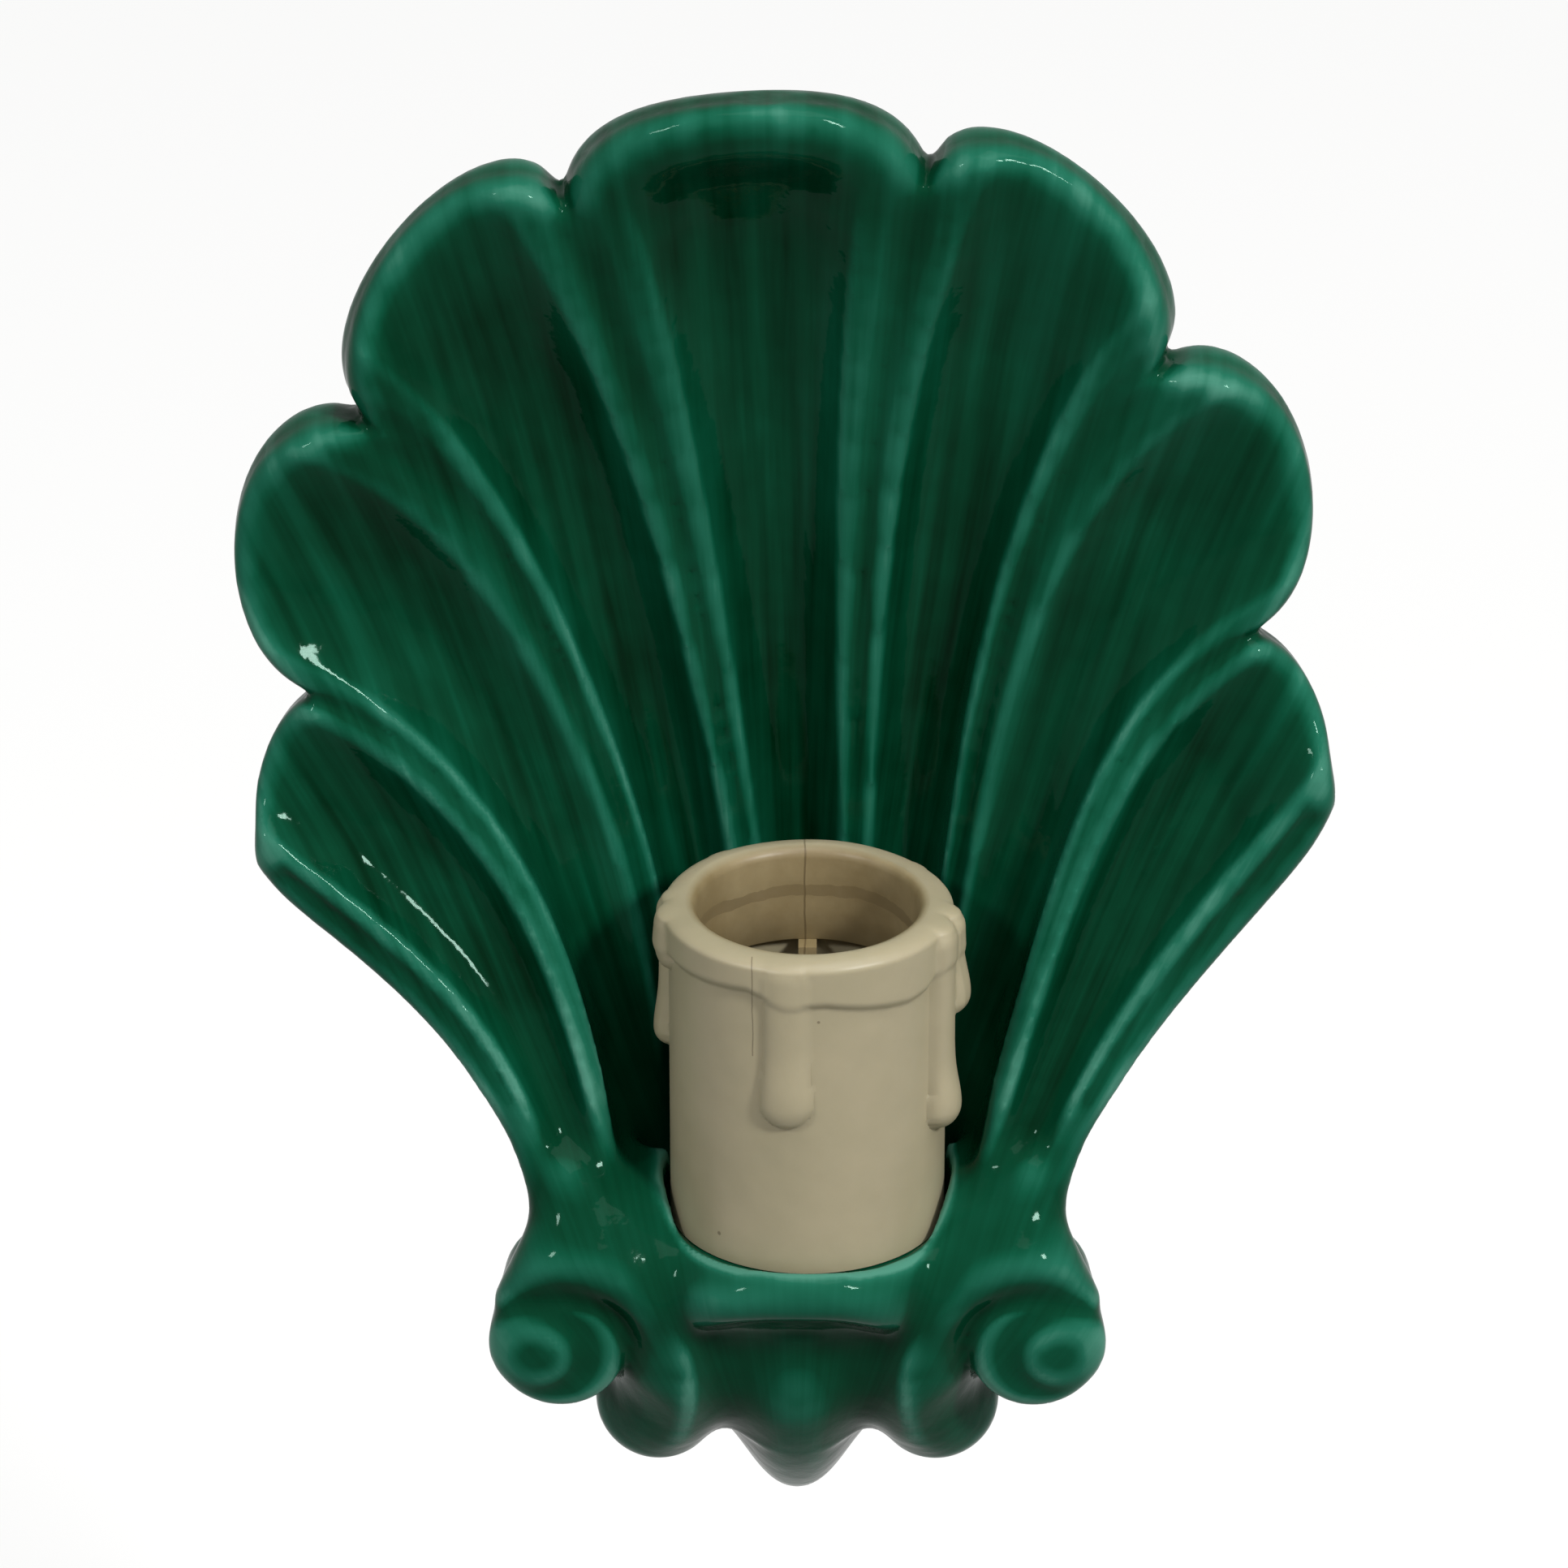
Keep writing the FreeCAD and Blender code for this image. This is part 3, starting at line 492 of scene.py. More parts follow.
def foot_hollow():
    """The hollow behind the foot, open at the wall."""
    levels = np.array(FOOT, float)
    a = np.linspace(math.pi / 2, -math.pi / 2, 49)
    rings = []
    for h in [*levels[:, 0], SHELF_UNDER]:
        half, reach = [np.interp(min(h, HOLLOW_LEVEL), levels[:, 0], levels[:, n]) - FOOT_WALL for n in (1, 2)]
        across = np.copysign(np.abs(np.sin(a)) ** (2 / FOOT_SQUARENESS), a) * half
        depth = (reach + 2) * np.abs(np.cos(a)) ** (2 / FOOT_SQUARENESS) - 2
        rings.append(np.stack([across, depth, np.full_like(a, h)], 1))
    return prism_between("foot_hollow", rings)


def shell_casting():
    """Fan, foot, scrolls and hanging pad run into one skin, its joins softened as wet clay would be."""
    pad, hanger, nipple_way = [prism_between(name, [circle(r, place, at, facing, count) for place in ends])
                               for name, r, ends, at, facing, count in WALL_TURNINGS]
    body = together("glazed_shell", [fan(), foot(), pad])
    remesh = body.modifiers.new("one_skin", "REMESH")
    remesh.mode, remesh.voxel_size, remesh.use_smooth_shade = "VOXEL", SKIN_STEP * MM, True
    shaped(body)
    mesh = body.data
    edges, p = read(mesh.edges, "vertices", 2, np.int64), read(mesh.vertices, "co", 3)
    height = p[:, 2] / MM + HANG_HEIGHT
    p = spread(p, edges, 3, 0.4)
    # the joins between fan and foot are softened further, except where the sleeve stands
    near = ease(-9, -3, height) * (1 - ease(10, 22, height)) * (p[:, 1] < -10 * MM)
    away = np.hypot(p[:, 0] / MM - SOCKET[0], -p[:, 1] / MM - SOCKET[1]) - RECESS_R
    near = near * ease(0.6, 3.5, away)
    p = spread(p, edges, 36, 0.6 * near)
    p = np.clip(p, *(np.array(corner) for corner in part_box("shell_casting")))
    mesh.vertices.foreach_set("co", p.ravel())
    mesh.update()
    for tool in (foot_hollow(), nipple_way, hanger):
        cut_from(body, tool)
    mark_glaze_and_light(body)
    return smooth_shaded(body, 50)


def mark_glaze_and_light(made):
    """Where the glaze has run thin over crests (1) or pooled in hollows (0), worked out from the shape; the finish also
    paints highlight along the crests and shade in the hollows from these marks.
    """
    mesh = made.data
    edges, p = read(mesh.edges, "vertices", 2, np.int64), read(mesh.vertices, "co", 3)
    normals = read(mesh.vertex_normals, "vector", 3)
    fine = spread(p, edges, 5, 0.6)
    wide = spread(fine, edges, 60, 0.6)
    crest = ((p - fine) * normals).sum(1)[:, None] / (FULL_CREST * MM)
    swell = ((p - wide) * normals).sum(1) / (FULL_SWELL * MM)
    crest = spread(crest, edges, 2, 0.5)[:, 0]
    for name, values in (("crest", crest), ("swell", swell)):
        layer = mesh.attributes.new(name, "FLOAT", "POINT")
        layer.data.foreach_set("value", np.clip(values, -1, 1).astype(np.float32))


# ---- the candle sleeve
SLEEVE_R, SLEEVE_HEIGHT = 19.5, 49.5
SLEEVE_BORE_R, SLEEVE_BORE_DEPTH, SLEEVE_SKIRT_R = 15.65, 14.6, 17.6
# Wax drips: (degrees round from the front to the right, tip height, half width, thickness), all mm but the first.
WAX_DRIPS = [(-9, 23.4, 3.7, 1.9), (-84, 39.8, 3.4, 2.0), (-99, 25.0, 2.7, 2.5), (84, 32.5, 3.3, 3.5),
             (70, 17.0, 3.6, 3.3), (128, 35.0, 2.6, 1.6), (-140, 33.0, 2.8, 1.8)]
# The lower edge of the run wax round the rim: (degrees, height).
WAX_EDGE = [(-180, 42.0), (-150, 43.2), (-120, 41.8), (-95, 42.4), (-78, 42.6), (-55, 43.0), (-38, 43.4),
            (-25, 43.8), (-9, 42.0), (7, 42.2), (21, 41.3), (33, 40.6), (45, 40.1), (55, 40.4), (66, 42.6),
            (80, 42.2), (100, 41.6), (120, 42.8), (150, 41.4), (180, 42.0)]
WAX_COAT, DRIP_TOP, MOUTH_START, MOUTH_R = 0.95, 46.0, 47.8, 17.2
RIB_INNER_R, RIB_OUTER_R, RIB_HALF, RIB_LOW = 13.1, 17.9, 1.3, 3


def wax_thickness(angle, height):
    """How far the wax stands out from the plain tube."""
    around = np.degrees(angle)
    edge = np.interp(around, *np.array(WAX_EDGE, float).T)
    wax = WAX_COAT * np.sqrt(ease(0, 1.5, height - edge))
    for degrees, tip, half, thick in WAX_DRIPS:
        off = (around - degrees + 180) % 360 - 180
        across = np.radians(off) * SLEEVE_R
        level = np.clip(height, tip + half, DRIP_TOP)
        width = half * (0.86 + 0.14 * np.exp(-((level - tip - half) / 4.0) ** 2))
        away = np.hypot(across, height - level) / width
        bulge = thick * (0.66 + 0.34 * np.exp(-((level - tip - half) / 5.0) ** 2))
        drip = bulge * np.sqrt(np.maximum(0, 1 - away ** 2))
        wax = np.maximum(wax, drip) + 0.35 * np.minimum(wax, drip)
    return wax


def candle_sleeve():
    turns = 288
    a = np.linspace(-math.pi, math.pi, turns, endpoint=False)
    ledge = SLEEVE_HEIGHT - SLEEVE_BORE_DEPTH
    rows = []
    for h in np.concatenate([[0.0, 0.25], np.linspace(0.7, 14, 20), np.linspace(14.5, MOUTH_START, 100)]):
        rows.append((SLEEVE_R - 0.35 * (h < 0.2) + wax_thickness(a, np.full_like(a, h)), np.full_like(a, h)))
    top_wave = 0.35 * np.sin(2 * a + 0.6) + 0.2 * np.sin(5 * a)
    last = rows[-1][0]
    for u in np.linspace(0.12, 1, 9):
        bend = u * math.pi / 2
        rows.append((last - (last - MOUTH_R) * (1 - math.cos(bend)),
                     MOUTH_START + (SLEEVE_HEIGHT - MOUTH_START + top_wave * 0.5 - 0.25) * math.sin(bend)))
    bore, skirt = SLEEVE_BORE_R, SLEEVE_SKIRT_R
    for r, h in ((16.6, 49.15), (16.1, 48.9), (15.8, 48.4), (bore, 47.8), (bore, 44), (bore, 40), (bore, ledge + 0.2),
                 (bore + 0.15, ledge), (skirt, ledge), (skirt, ledge - 1), (skirt, 20), (skirt, 0)):
        rows.append((np.full_like(a, r), np.full_like(a, h)))
    rows.append(rows[0])
    points = [np.stack([SOCKET[0] + r * np.sin(a), SOCKET[1] + r * np.cos(a), h], 1) for r, h in rows]
    sleeve = welded(mesh_object("sleeve", placed(points), grid_faces(len(points), turns, closed=True)))
    ribs = []
    for turn in (math.radians(90 * n) for n in range(4)):
        corners = []
        for x, y in ((-RIB_HALF, RIB_INNER_R), (RIB_HALF, RIB_INNER_R), (RIB_HALF, RIB_OUTER_R),
                     (-RIB_HALF, RIB_OUTER_R)):
            corners.append([(SOCKET[0] + x * math.cos(turn) - y * math.sin(turn),
                             SOCKET[1] + x * math.sin(turn) + y * math.cos(turn), h) for h in (RIB_LOW, ledge)])
        ribs.append(prism_between("rib", np.array(corners).transpose(1, 0, 2)))
    return together("candle_sleeve_wax", [sleeve] + ribs, 42)


# ---- lampholder and fixing
TURNS = 96
AROUND = np.arange(TURNS) * 2 * math.pi / TURNS
BOLT_AXIS = (SOCKET[0], 17)
BARRELS, BARREL_HEIGHT, SCREW_DEPTHS = (SOCKET[0] - 4, SOCKET[0] + 4), -25, (13.5, 20.5)


def turned(name, outline, at=SOCKET, facing="up", crease=35):
    """Turns a closed outline of (radius, place along the axis); a radius may be one number for each turn."""
    rings = [circle(r, h, at, facing, TURNS) for r, h in [*outline, outline[0]]]
    return smooth_shaded(welded(mesh_object(name, placed(rings), grid_faces(len(rings), TURNS, closed=True))), crease)


def eased(outline, cut):
    """The outline with its corners rounded over; those on the axis stay."""
    result = []
    points = [np.array(q, float) for q in outline]
    for before, here, after in zip(points[-1:] + points, points, points[1:] + points[:1]):
        if here[0] == 0:
            result.append(here)
            continue
        back, on = before - here, after - here
        start = here + back * min(cut / max(np.linalg.norm(back), 1e-6), 0.45)
        end = here + on * min(cut / max(np.linalg.norm(on), 1e-6), 0.45)
        result += [start * (1 - u) ** 2 + here * (2 * u * (1 - u)) + end * u * u for u in (0, 0.3, 0.7, 1)]
    return result


def threaded(r, depth, pitch, low, high, run_in):
    """Outline of a screw thread cut into radius r, running out at both ends."""
    rows = []
    for h in np.linspace(low, high, int((high - low) / pitch * 8) + 1):
        saw = np.abs(((h / pitch - AROUND / (2 * math.pi)) % 1) * 2 - 1)
        fade = ease(low, low + run_in, h) * (1 - ease(high - run_in, high, h))
        rows.append((r - depth * saw * fade, h))
    return rows


def nut(name, flats, bore, pitch, low, high, at):
    """A hexagon nut, its corners turned down to a cone at both faces and its bore threaded."""
    corner = (AROUND % (math.pi / 3)) - math.pi / 6
    hexagon = flats / 2 / np.cos(corner)
    rows = []
    for h in np.concatenate([[0, 0.12, 0.28, 0.45, 0.7], (high - low) - np.array([0.7, 0.45, 0.28, 0.12, 0])]):
        cone = flats / 2 - 0.1 + min(h, high - low - h) * 1.73
        rows.append((np.minimum(hexagon, cone), low + h))
    inside = threaded(bore + pitch * 0.5, pitch * 0.5, pitch, low + 0.3, high - 0.3, 0.1)[::-1]
    rows += [(bore + pitch * 0.6, high)] + inside + [(bore + pitch * 0.6, low)]
    return turned(name, rows, at, crease=30)


def washer(name, r, low, high):
    return turned(name, eased([(5.3, low), (r, low), (r, high), (5.3, high)], 0.18))


def block(name, low, high, bevel):
    """A box between two corners, its edges rounded."""
    (a, b, c), (d, e, f) = low, high
    made = prism_between(name, [[(a, b, h), (d, b, h), (d, e, h), (a, e, h)] for h in (c, f)])
    return bevelled(made, bevel)


def bevelled(made, width):
    round_over = made.modifiers.new("round_over", "BEVEL")
    round_over.width, round_over.segments, round_over.limit_method = width * MM, 3, "ANGLE"
    return smooth_shaded(shaped(made), 50)


def rod(r, low, high, at=SOCKET, facing="up"):
    return turned("rod", [(0, low), (r, low), (r, high), (0, high)], at, facing)


def slotted(screw, place, facing, width, length, deep):
    """Cuts the driver's slot: it runs across the screw, its middle at the head's face."""
    half = {"up": (length, width / 2, deep), "across": (deep, length, width / 2)}[facing]
    return cut_from(screw, block("slot", np.array(place) - half, np.array(place) + half, 0.02))


def cord(name, route, r, count=20):
    """A round cord along a route, its ends rounded over."""
    p = np.array(route, float)
    tangent = unit(np.gradient(p, axis=0))
    over = unit(np.cross(tangent, (0.3, -1, 0.02)))
    side = np.cross(tangent, over)
    a = np.arange(count) * 2 * math.pi / count
    ring = np.cos(a)[:, None, None] * over + np.sin(a)[:, None, None] * side
    rings = [p[0] + ring[:, 0] * r * q + tangent[0] * (1 - q) * 0.3 for q in (0.6, 0.9)]
    rings += [p[n] + ring[:, n] * r for n in range(1, len(p) - 1)]
    rings += [p[-1] + ring[:, -1] * r * q - tangent[-1] * (1 - q) * 0.3 for q in (0.9, 0.6)]
    return smooth_shaded(prism_between(name, rings), 60)


def arc(centre, r, start, end, steps=14):
    """Points along a circle's arc, from one unit direction from its centre to another."""
    start, end = np.array(start, float), np.array(end, float)
    angle = math.acos(start @ end)
    return [centre + (start * math.sin((1 - u) * angle) + end * math.sin(u * angle)) * (r / math.sin(angle))
            for u in (n / steps for n in range(1, steps + 1))]


# Plain turned pieces: outlines of (radius, height), and the rounding of their corners.
HOLDER_CAP = [(5.05, 1.2), (11.4, 1.2), (12.4, 2.2), (12.4, 10), (11.5, 10), (11.5, 14.5), (9, 14.5), (9, 5.5),
              (5.05, 5.5)], 0.25
HOLDER_SKIRT = [(11.5, 10), (12.4, 10), (12.4, 32.7), (11.6, 33.5), (7.7, 33.5), (7.7, 31.5), (10.4, 31.5),
                (10.4, 14.5), (11.5, 14.5)], 0.3
HOLDER_CORE = [(1.6, 14.5), (10.4, 14.5), (10.4, 20), (3.1, 20), (3.1, 17), (1.6, 17)], 0.4
PLUNGER = [(0, 13.65), (1.9, 13.65), (1.9, 14.45), (1.25, 14.45), (1.25, 18.4), (2.7, 18.4), (2.7, 19.4),
           (1.8, 19.95), (0, 19.95)], 0.2


def screw_shell():
    """Pressed brass: a flange that lies on the core, and a tube rolled into the small lamp's round thread."""
    pitch, roll, low, high = 2.82, 0.5, 21.4, 31.2
    walls = []
    for r, order in ((7.5, 1), (7.0, -1)):
        rows = []
        for h in np.linspace(low, high, 56):
            fade = ease(low, low + 1.2, h) * (1 - ease(high - 1.2, high, h))
            rows.append((r - roll * fade * (0.5 - 0.5 * np.cos(2 * math.pi * h / pitch - AROUND)), h))
        walls.append(rows[::order])
    flange = [(7.0, 20.02), (9.5, 20.02), (9.6, 20.12), (9.6, 20.5), (9.5, 20.6), (8.1, 20.6), (7.7, 20.75),
              (7.5, 21.0)]
    return turned("lamp_thread", flange + walls[0] + [(7.45, 31.5), (7.05, 31.5)] + walls[1], crease=60)


def holder_terminals():
    return together("holder_clamps", [
        block("terminal", (x - 2, 37.5, 9.5), (x + 2, 42.5, 14.5), 0.3) for x in (SOCKET[0] - 5.5, SOCKET[0] + 5.5)])


def holder_terminal_screws():
    pieces = []
    for side in (-1, 1):
        under, face = SOCKET[0] + side * 7.5, SOCKET[0] + side * 7.5 + side * 1.1
        head = turned("head", eased([(0, under), (1.7, under), (1.7, face), (0, face)], 0.3), (SOCKET[1], 12.5),
                      "across")
        pieces.append(slotted(head, (face, SOCKET[1], 12.5), "across", 0.5, 4, 0.6))
    return together("holder_clamp_screws", pieces)


def threaded_nipple():
    """A tube threaded from end to end for the lampholder above the shelf and the nut below it."""
    rows = threaded(5.0, 0.55, 1.0, -17.4, 5.4, 0.6)
    rows = [(4.1, -17.5), (4.7, -17.5)] + rows + [(4.7, 5.5), (4.1, 5.5), (3.9, 5.3), (3.9, -17.3)]
    return turned("nipple_thread", rows, crease=60)


def block_strap():
    """Bent steel strip: one end on the nipple under the shelf, the other carrying the terminal block."""
    outline = np.array([(47.5, -9), (29.5, -9), (29.5, -18), (8, -18), (8, -19.5), (31, -19.5), (31, -10.5),
                        (47.5, -10.5)])
    roundings = (0, 2.0, 0.5, 0, 0, 2.0, 0.5, 0)
    path = []
    for before, here, after, r in zip(np.roll(outline, 1, 0), outline, np.roll(outline, -1, 0), roundings):
        start, end = here + unit(before - here) * r, here + unit(after - here) * r
        path += [start * (1 - u) ** 2 + here * (2 * u * (1 - u)) + end * u * u
                 for u in (np.linspace(0, 1, 9) if r else [0])]
    rings = [[(SOCKET[0] + x, f, h) for f, h in path] for x in (-6.5, 6.5)]
    strap = bevelled(prism_between("strap", rings), 0.15)
    for r, at in ((5.3, SOCKET), (1.6, BOLT_AXIS)):
        strap = cut_from(strap, rod(r, -20, -8, at))
    return smooth_shaded(strap, 35)


def terminal_block():
    body = block("nylon_block", (SOCKET[0] - 8.5, 10, -30.5), (SOCKET[0] + 8.5, 24, -19.5), 0.6)
    body = cut_from(body, rod(1.6, -31, -19, BOLT_AXIS))
    for pole in BARRELS:
        body = cut_from(body, rod(2.42, 9, 25, (pole, BARREL_HEIGHT), "out"))
        for depth in SCREW_DEPTHS:
            body = cut_from(body, rod(1.5, -31, BARREL_HEIGHT, (pole, depth)))
    return smooth_shaded(body, 40)


def block_barrels():
    return together("block_poles", [
        turned("pole", eased([(1.5, 10.5), (2.4, 10.5), (2.4, 23.5), (1.5, 23.5)], 0.2),
               (x, BARREL_HEIGHT), "out") for x in BARRELS])


def block_screws():
    pieces = []
    for x in BARRELS:
        for depth in SCREW_DEPTHS:
            screw = turned("screw", eased([(0, -29.5), (1.4, -29.5), (1.4, -27.4), (0, -27.4)], 0.15), (x, depth))
            pieces.append(slotted(screw, (x, depth, -29.5), "up", 0.45, 2, 0.5))
    return together("pole_screws", pieces)


def block_bolt():
    """A small cheese-head bolt up through the block and the strap, slotted underneath."""
    rows = eased([(0, -32.3), (2.7, -32.3), (2.7, -30.5), (1.5, -30.5)], 0.3)[:-3]
    rows += threaded(1.5, 0.28, 0.5, -30.3, -15.0, 0.4) + [(1.2, -14.8), (0, -14.8)]
    bolt = turned("bolt", rows, BOLT_AXIS, crease=60)
    return slotted(bolt, (*BOLT_AXIS, -32.3), "up", 0.7, 4, 0.8)


def lead(name, side):
    """From a holder terminal, bending into the nipple, down it and back into the terminal block."""
    bend, turn, shift = 2.6, 5.5, 4.25
    out, up = np.array([side, 0.0, 0.0]), np.array([0.0, 0.0, 1.0])
    angle = math.acos(1 - shift / (2 * bend))
    start = np.array([SOCKET[0] + side * 5.5, SOCKET[1], 9.5])
    first = start - up * 0.2
    route = [start, start - up * 0.1, first]
    route += arc(first - out * bend, bend, out, out * math.cos(angle) - up * math.sin(angle))
    second = first - out * (shift - bend) - up * (2 * bend * math.sin(angle))
    route += arc(second, bend, up * math.sin(angle) - out * math.cos(angle), -out)
    pole = np.array([SOCKET[0] + side * 1.25, SOCKET[1], -25.0])
    run = unit(np.array([side * 2.75, -16.0, 0.0]))
    route.append(pole + up * turn)
    route += arc(pole + up * turn + run * turn, turn, -run, -up)
    route += [pole + run * (17.3 / -run[1]), pole + run * (17.5 / -run[1])]
    return cord(name, route, 1.0)


# ---- finishes
RUNS_START = -60                # mm over the shelf: the height that the runs of glaze spread out from
FOOT_TO_FAN = 0.060, 0.095      # m over that height, where the foot's look turns into the fan's
WIPED = -0.0012, -0.0004        # m from the wall, over which the glaze gives way to bare clay
BORE_EDGE = 0.0172, 0.0160      # m from the sleeve's axis, over which its outer colour gives way to the bore's
BACK_SEAM, FRONT_SEAM = (0.0002, 0.00013), (-0.007, 0.00008)    # m across from the axis, and half a seam's width
DARK_RING_HEIGHT, SEAM_LOW = 44.8, 34       # mm over the shelf


def linear(code):
    """An sRGB hex colour as linear values."""
    parts = [int(code[i:i + 2], 16) / 255 for i in (1, 3, 5)]
    return [p / 12.92 if p <= 0.04045 else ((p + 0.055) / 1.055) ** 2.4 for p in parts] + [1.0]


def feed(node, *values, **named):
    """Gives a node's sockets, in order or by name, their values, or the nodes and sockets that feed them."""
    sockets = [socket for socket in node.inputs if socket.enabled][:len(values)]
    sockets += [node.inputs[name.replace("_", " ")] for name in named]
    for socket, value in zip(sockets, list(values) + list(named.values())):
        if isinstance(value, bpy.types.Node):
            value = next(out for out in value.outputs if out.enabled)
        if isinstance(value, bpy.types.NodeSocket):
            node.id_data.links.new(value, socket)
        else:
            socket.default_value = value


def add_node(tree, kind, *values, stops=(), **named):
    """Adds a node; after its kind may come its operation. Names with a capital are its sockets, others its settings,
    and stops are a colour ramp's."""
    kind, _, operation = kind.partition(" ")
    node = tree.nodes.new("ShaderNode" + kind)
    settings = {name: value for name, value in named.items() if name.islower()}
    for name, value in settings.items():
        setattr(node, name, value)
    if operation:
        node.operation = operation
    if stops:
        ramp = node.color_ramp.elements
        while len(ramp) < len(stops):
            ramp.new(0.5)
        for element, (at, colour) in zip(ramp, stops):
            element.position, element.color = at, linear(colour)
    feed(node, *values, **{name: value for name, value in named.items() if name not in settings})
    return node


def finish(name):
    """A material, with what adds a node to it and its shader."""
    material = bpy.data.materials.new(name)
    material.use_nodes = True
    return material, partial(add_node, material.node_tree), material.node_tree.nodes["Principled BSDF"]


def green_glaze():
    """Lead-glossy copper green over buff earthenware: clear and pale where thin, bottle-dark where it pools, with
    painted highlight along the crests and painted shade in the deepest hollows.
    """
    material, add, shader = finish("copper_green_glaze")
    place = add("TexCoord").outputs["Object"]
    crest, swell = [add("Attribute", attribute_name=name).outputs["Fac"] for name in ("crest", "swell")]
    # runs of glaze about 2.5 mm apart that follow the flutes out from a point under the foot, over clouds of 40 mm
    x, y, z = add("SeparateXYZ", place).outputs
    height = add("Math ADD", z, (HANG_HEIGHT - RUNS_START) * MM)
    turn = add("Math ARCTAN2", x, height)
    polar = add("CombineXYZ", turn, height, y)
    run = add("Mapping", polar, Scale=(62, 17, 12))
    runs = add("TexNoise", run, Scale=1.0, Detail=3.0, Roughness=0.55)
    cloud = add("TexNoise", place, Scale=24.0, Detail=4.0, Roughness=0.6)
    # they are plain in the fan and faint on the foot, where the pale lines along the crests, thin glaze and painted
    # highlight, are plainer
    share = add("MapRange", height, *FOOT_TO_FAN, 0.12, 0.42)
    line = add("MapRange", height, *FOOT_TO_FAN, 0.60, 0.27)
    runs = add("Math MULTIPLY_ADD", add("Math SUBTRACT", runs, 0.5), share, 0.15)
    total = add("Math ADD", runs, add("Math MULTIPLY_ADD", swell, 0.27, 0.09))
    total = add("Math MULTIPLY_ADD", cloud, 0.44, total)
    # pale lines along the crests: partly thin glaze, partly painted highlight
    thin_glaze_and_highlight = add("MapRange", crest, 0.15, 0.9, 0.0, line)
    total = add("Math ADD", thin_glaze_and_highlight, total, use_clamp=True)
    # the darkest stops are pooled glaze and also painted shade, deepest in the hollows beside the sleeve
    colour = add("ValToRGB", total, stops=[
        (0.14, "#000c05"), (0.30, "#012411"), (0.46, "#053d27"), (0.60, "#0b4f38"), (0.80, "#1f6650"),
        (1.0, "#4a8773")])
    # the ring that stands on the wall is wiped clean of glaze: bare buff clay
    bare = add("MapRange", y, *WIPED, 0.0, 1.0)
    clay = add("ValToRGB", cloud, stops=[(0.3, "#a98e6c"), (0.7, "#c2aa88")])
    # the fired skin is never quite flat: low swells 5 mm across and an orange peel of 1 mm, a little coarser than real
    swells = add("TexNoise", place, Scale=190.0, Detail=1.0)
    peel = add("TexNoise", place, Scale=900.0, Detail=1.0)
    low = add("Bump", Height=swells, Strength=0.25, Distance=0.0006)
    feed(shader, Base_Color=add("Mix", bare, colour, clay, data_type="RGBA"),
         Roughness=add("MapRange", bare, 0.0, 1.0, 0.07, 0.85),
         Normal=add("Bump", Height=peel, Strength=0.12, Distance=0.0002, Normal=low),
         IOR=1.2, Specular_IOR_Level=0.32, Specular_Tint=(0.65, 1.0, 0.85, 1.0))
    return material


def cream_wax():
    """Moulded cream plastic made to look like a wax candle: satin, a little translucent, browner inside."""
    material, add, shader = finish("cream_moulded_candle")
    place = add("TexCoord").outputs["Object"]
    axis = add("Mapping", place, Location=(-SOCKET[0] * MM, SOCKET[1] * MM, HANG_HEIGHT * MM))
    x, y, z = add("SeparateXYZ", axis).outputs
    r = add("VectorMath LENGTH", add("CombineXYZ", x, y, 0.0))
    inside = add("MapRange", r, *BORE_EDGE, 0.0, 1.0)
    cloud = add("TexNoise", place, Scale=70.0, Detail=5.0, Roughness=0.6)
    cream = add("ValToRGB", cloud, stops=[(0.25, "#a39a7d"), (0.75, "#aea386")])
    inner_brown = add("ValToRGB", cloud, stops=[(0.3, "#7d6c49"), (0.7, "#9d8d69")])
    colour = add("Mix", inside, cream, inner_brown, data_type="RGBA")
    # over clouds of 14 mm, hairline seams at the bore's back and at the front, a darker ring inside and dark specks
    side = add("Math MULTIPLY_ADD", cloud, 0.0012, x)
    back_seam = add("Math COMPARE", side, *BACK_SEAM)
    back_seam = add("Math MULTIPLY", back_seam, add("Math GREATER_THAN", y, 0.005))
    front_seam = add("Math COMPARE", side, *FRONT_SEAM)
    front_seam = add("Math MULTIPLY", front_seam, add("Math GREATER_THAN", z, SEAM_LOW * MM))
    front_seam = add("Math MULTIPLY", front_seam, add("Math LESS_THAN", y, -0.017))
    ring = add("Math MULTIPLY_ADD", cloud, 0.004, z)
    dark_ring = add("Math COMPARE", ring, DARK_RING_HEIGHT * MM, 0.0009)
    dark_ring = add("Math MULTIPLY", add("Math MULTIPLY", dark_ring, cloud), inside)
    specks = add("Math LESS_THAN", add("TexVoronoi", place, Scale=75.0), 0.035)
    marks = add("Math MAXIMUM", back_seam, front_seam)
    for more in (dark_ring, specks):
        marks = add("Math MAXIMUM", marks, more)
    marks = add("Math MULTIPLY", marks, 0.55)
    # sink marks of 6 mm, and a moulded grain drawn at 0.7 mm, coarser than real, so that it shows
    grain = add("TexNoise", place, Scale=1400.0, Detail=2.0)
    swells = add("TexNoise", place, Scale=160.0, Detail=1.0)
    low = add("Bump", Height=swells, Strength=0.35, Distance=0.0005)
    feed(shader, Base_Color=add("Mix", marks, colour, linear("#4a3a22"), data_type="RGBA"),
         Normal=add("Bump", Height=grain, Strength=0.12, Distance=0.0001, Normal=low),
         Roughness=0.42, Subsurface_Weight=0.12, Subsurface_Radius=(1.0, 0.7, 0.4), Subsurface_Scale=0.002)
    return material


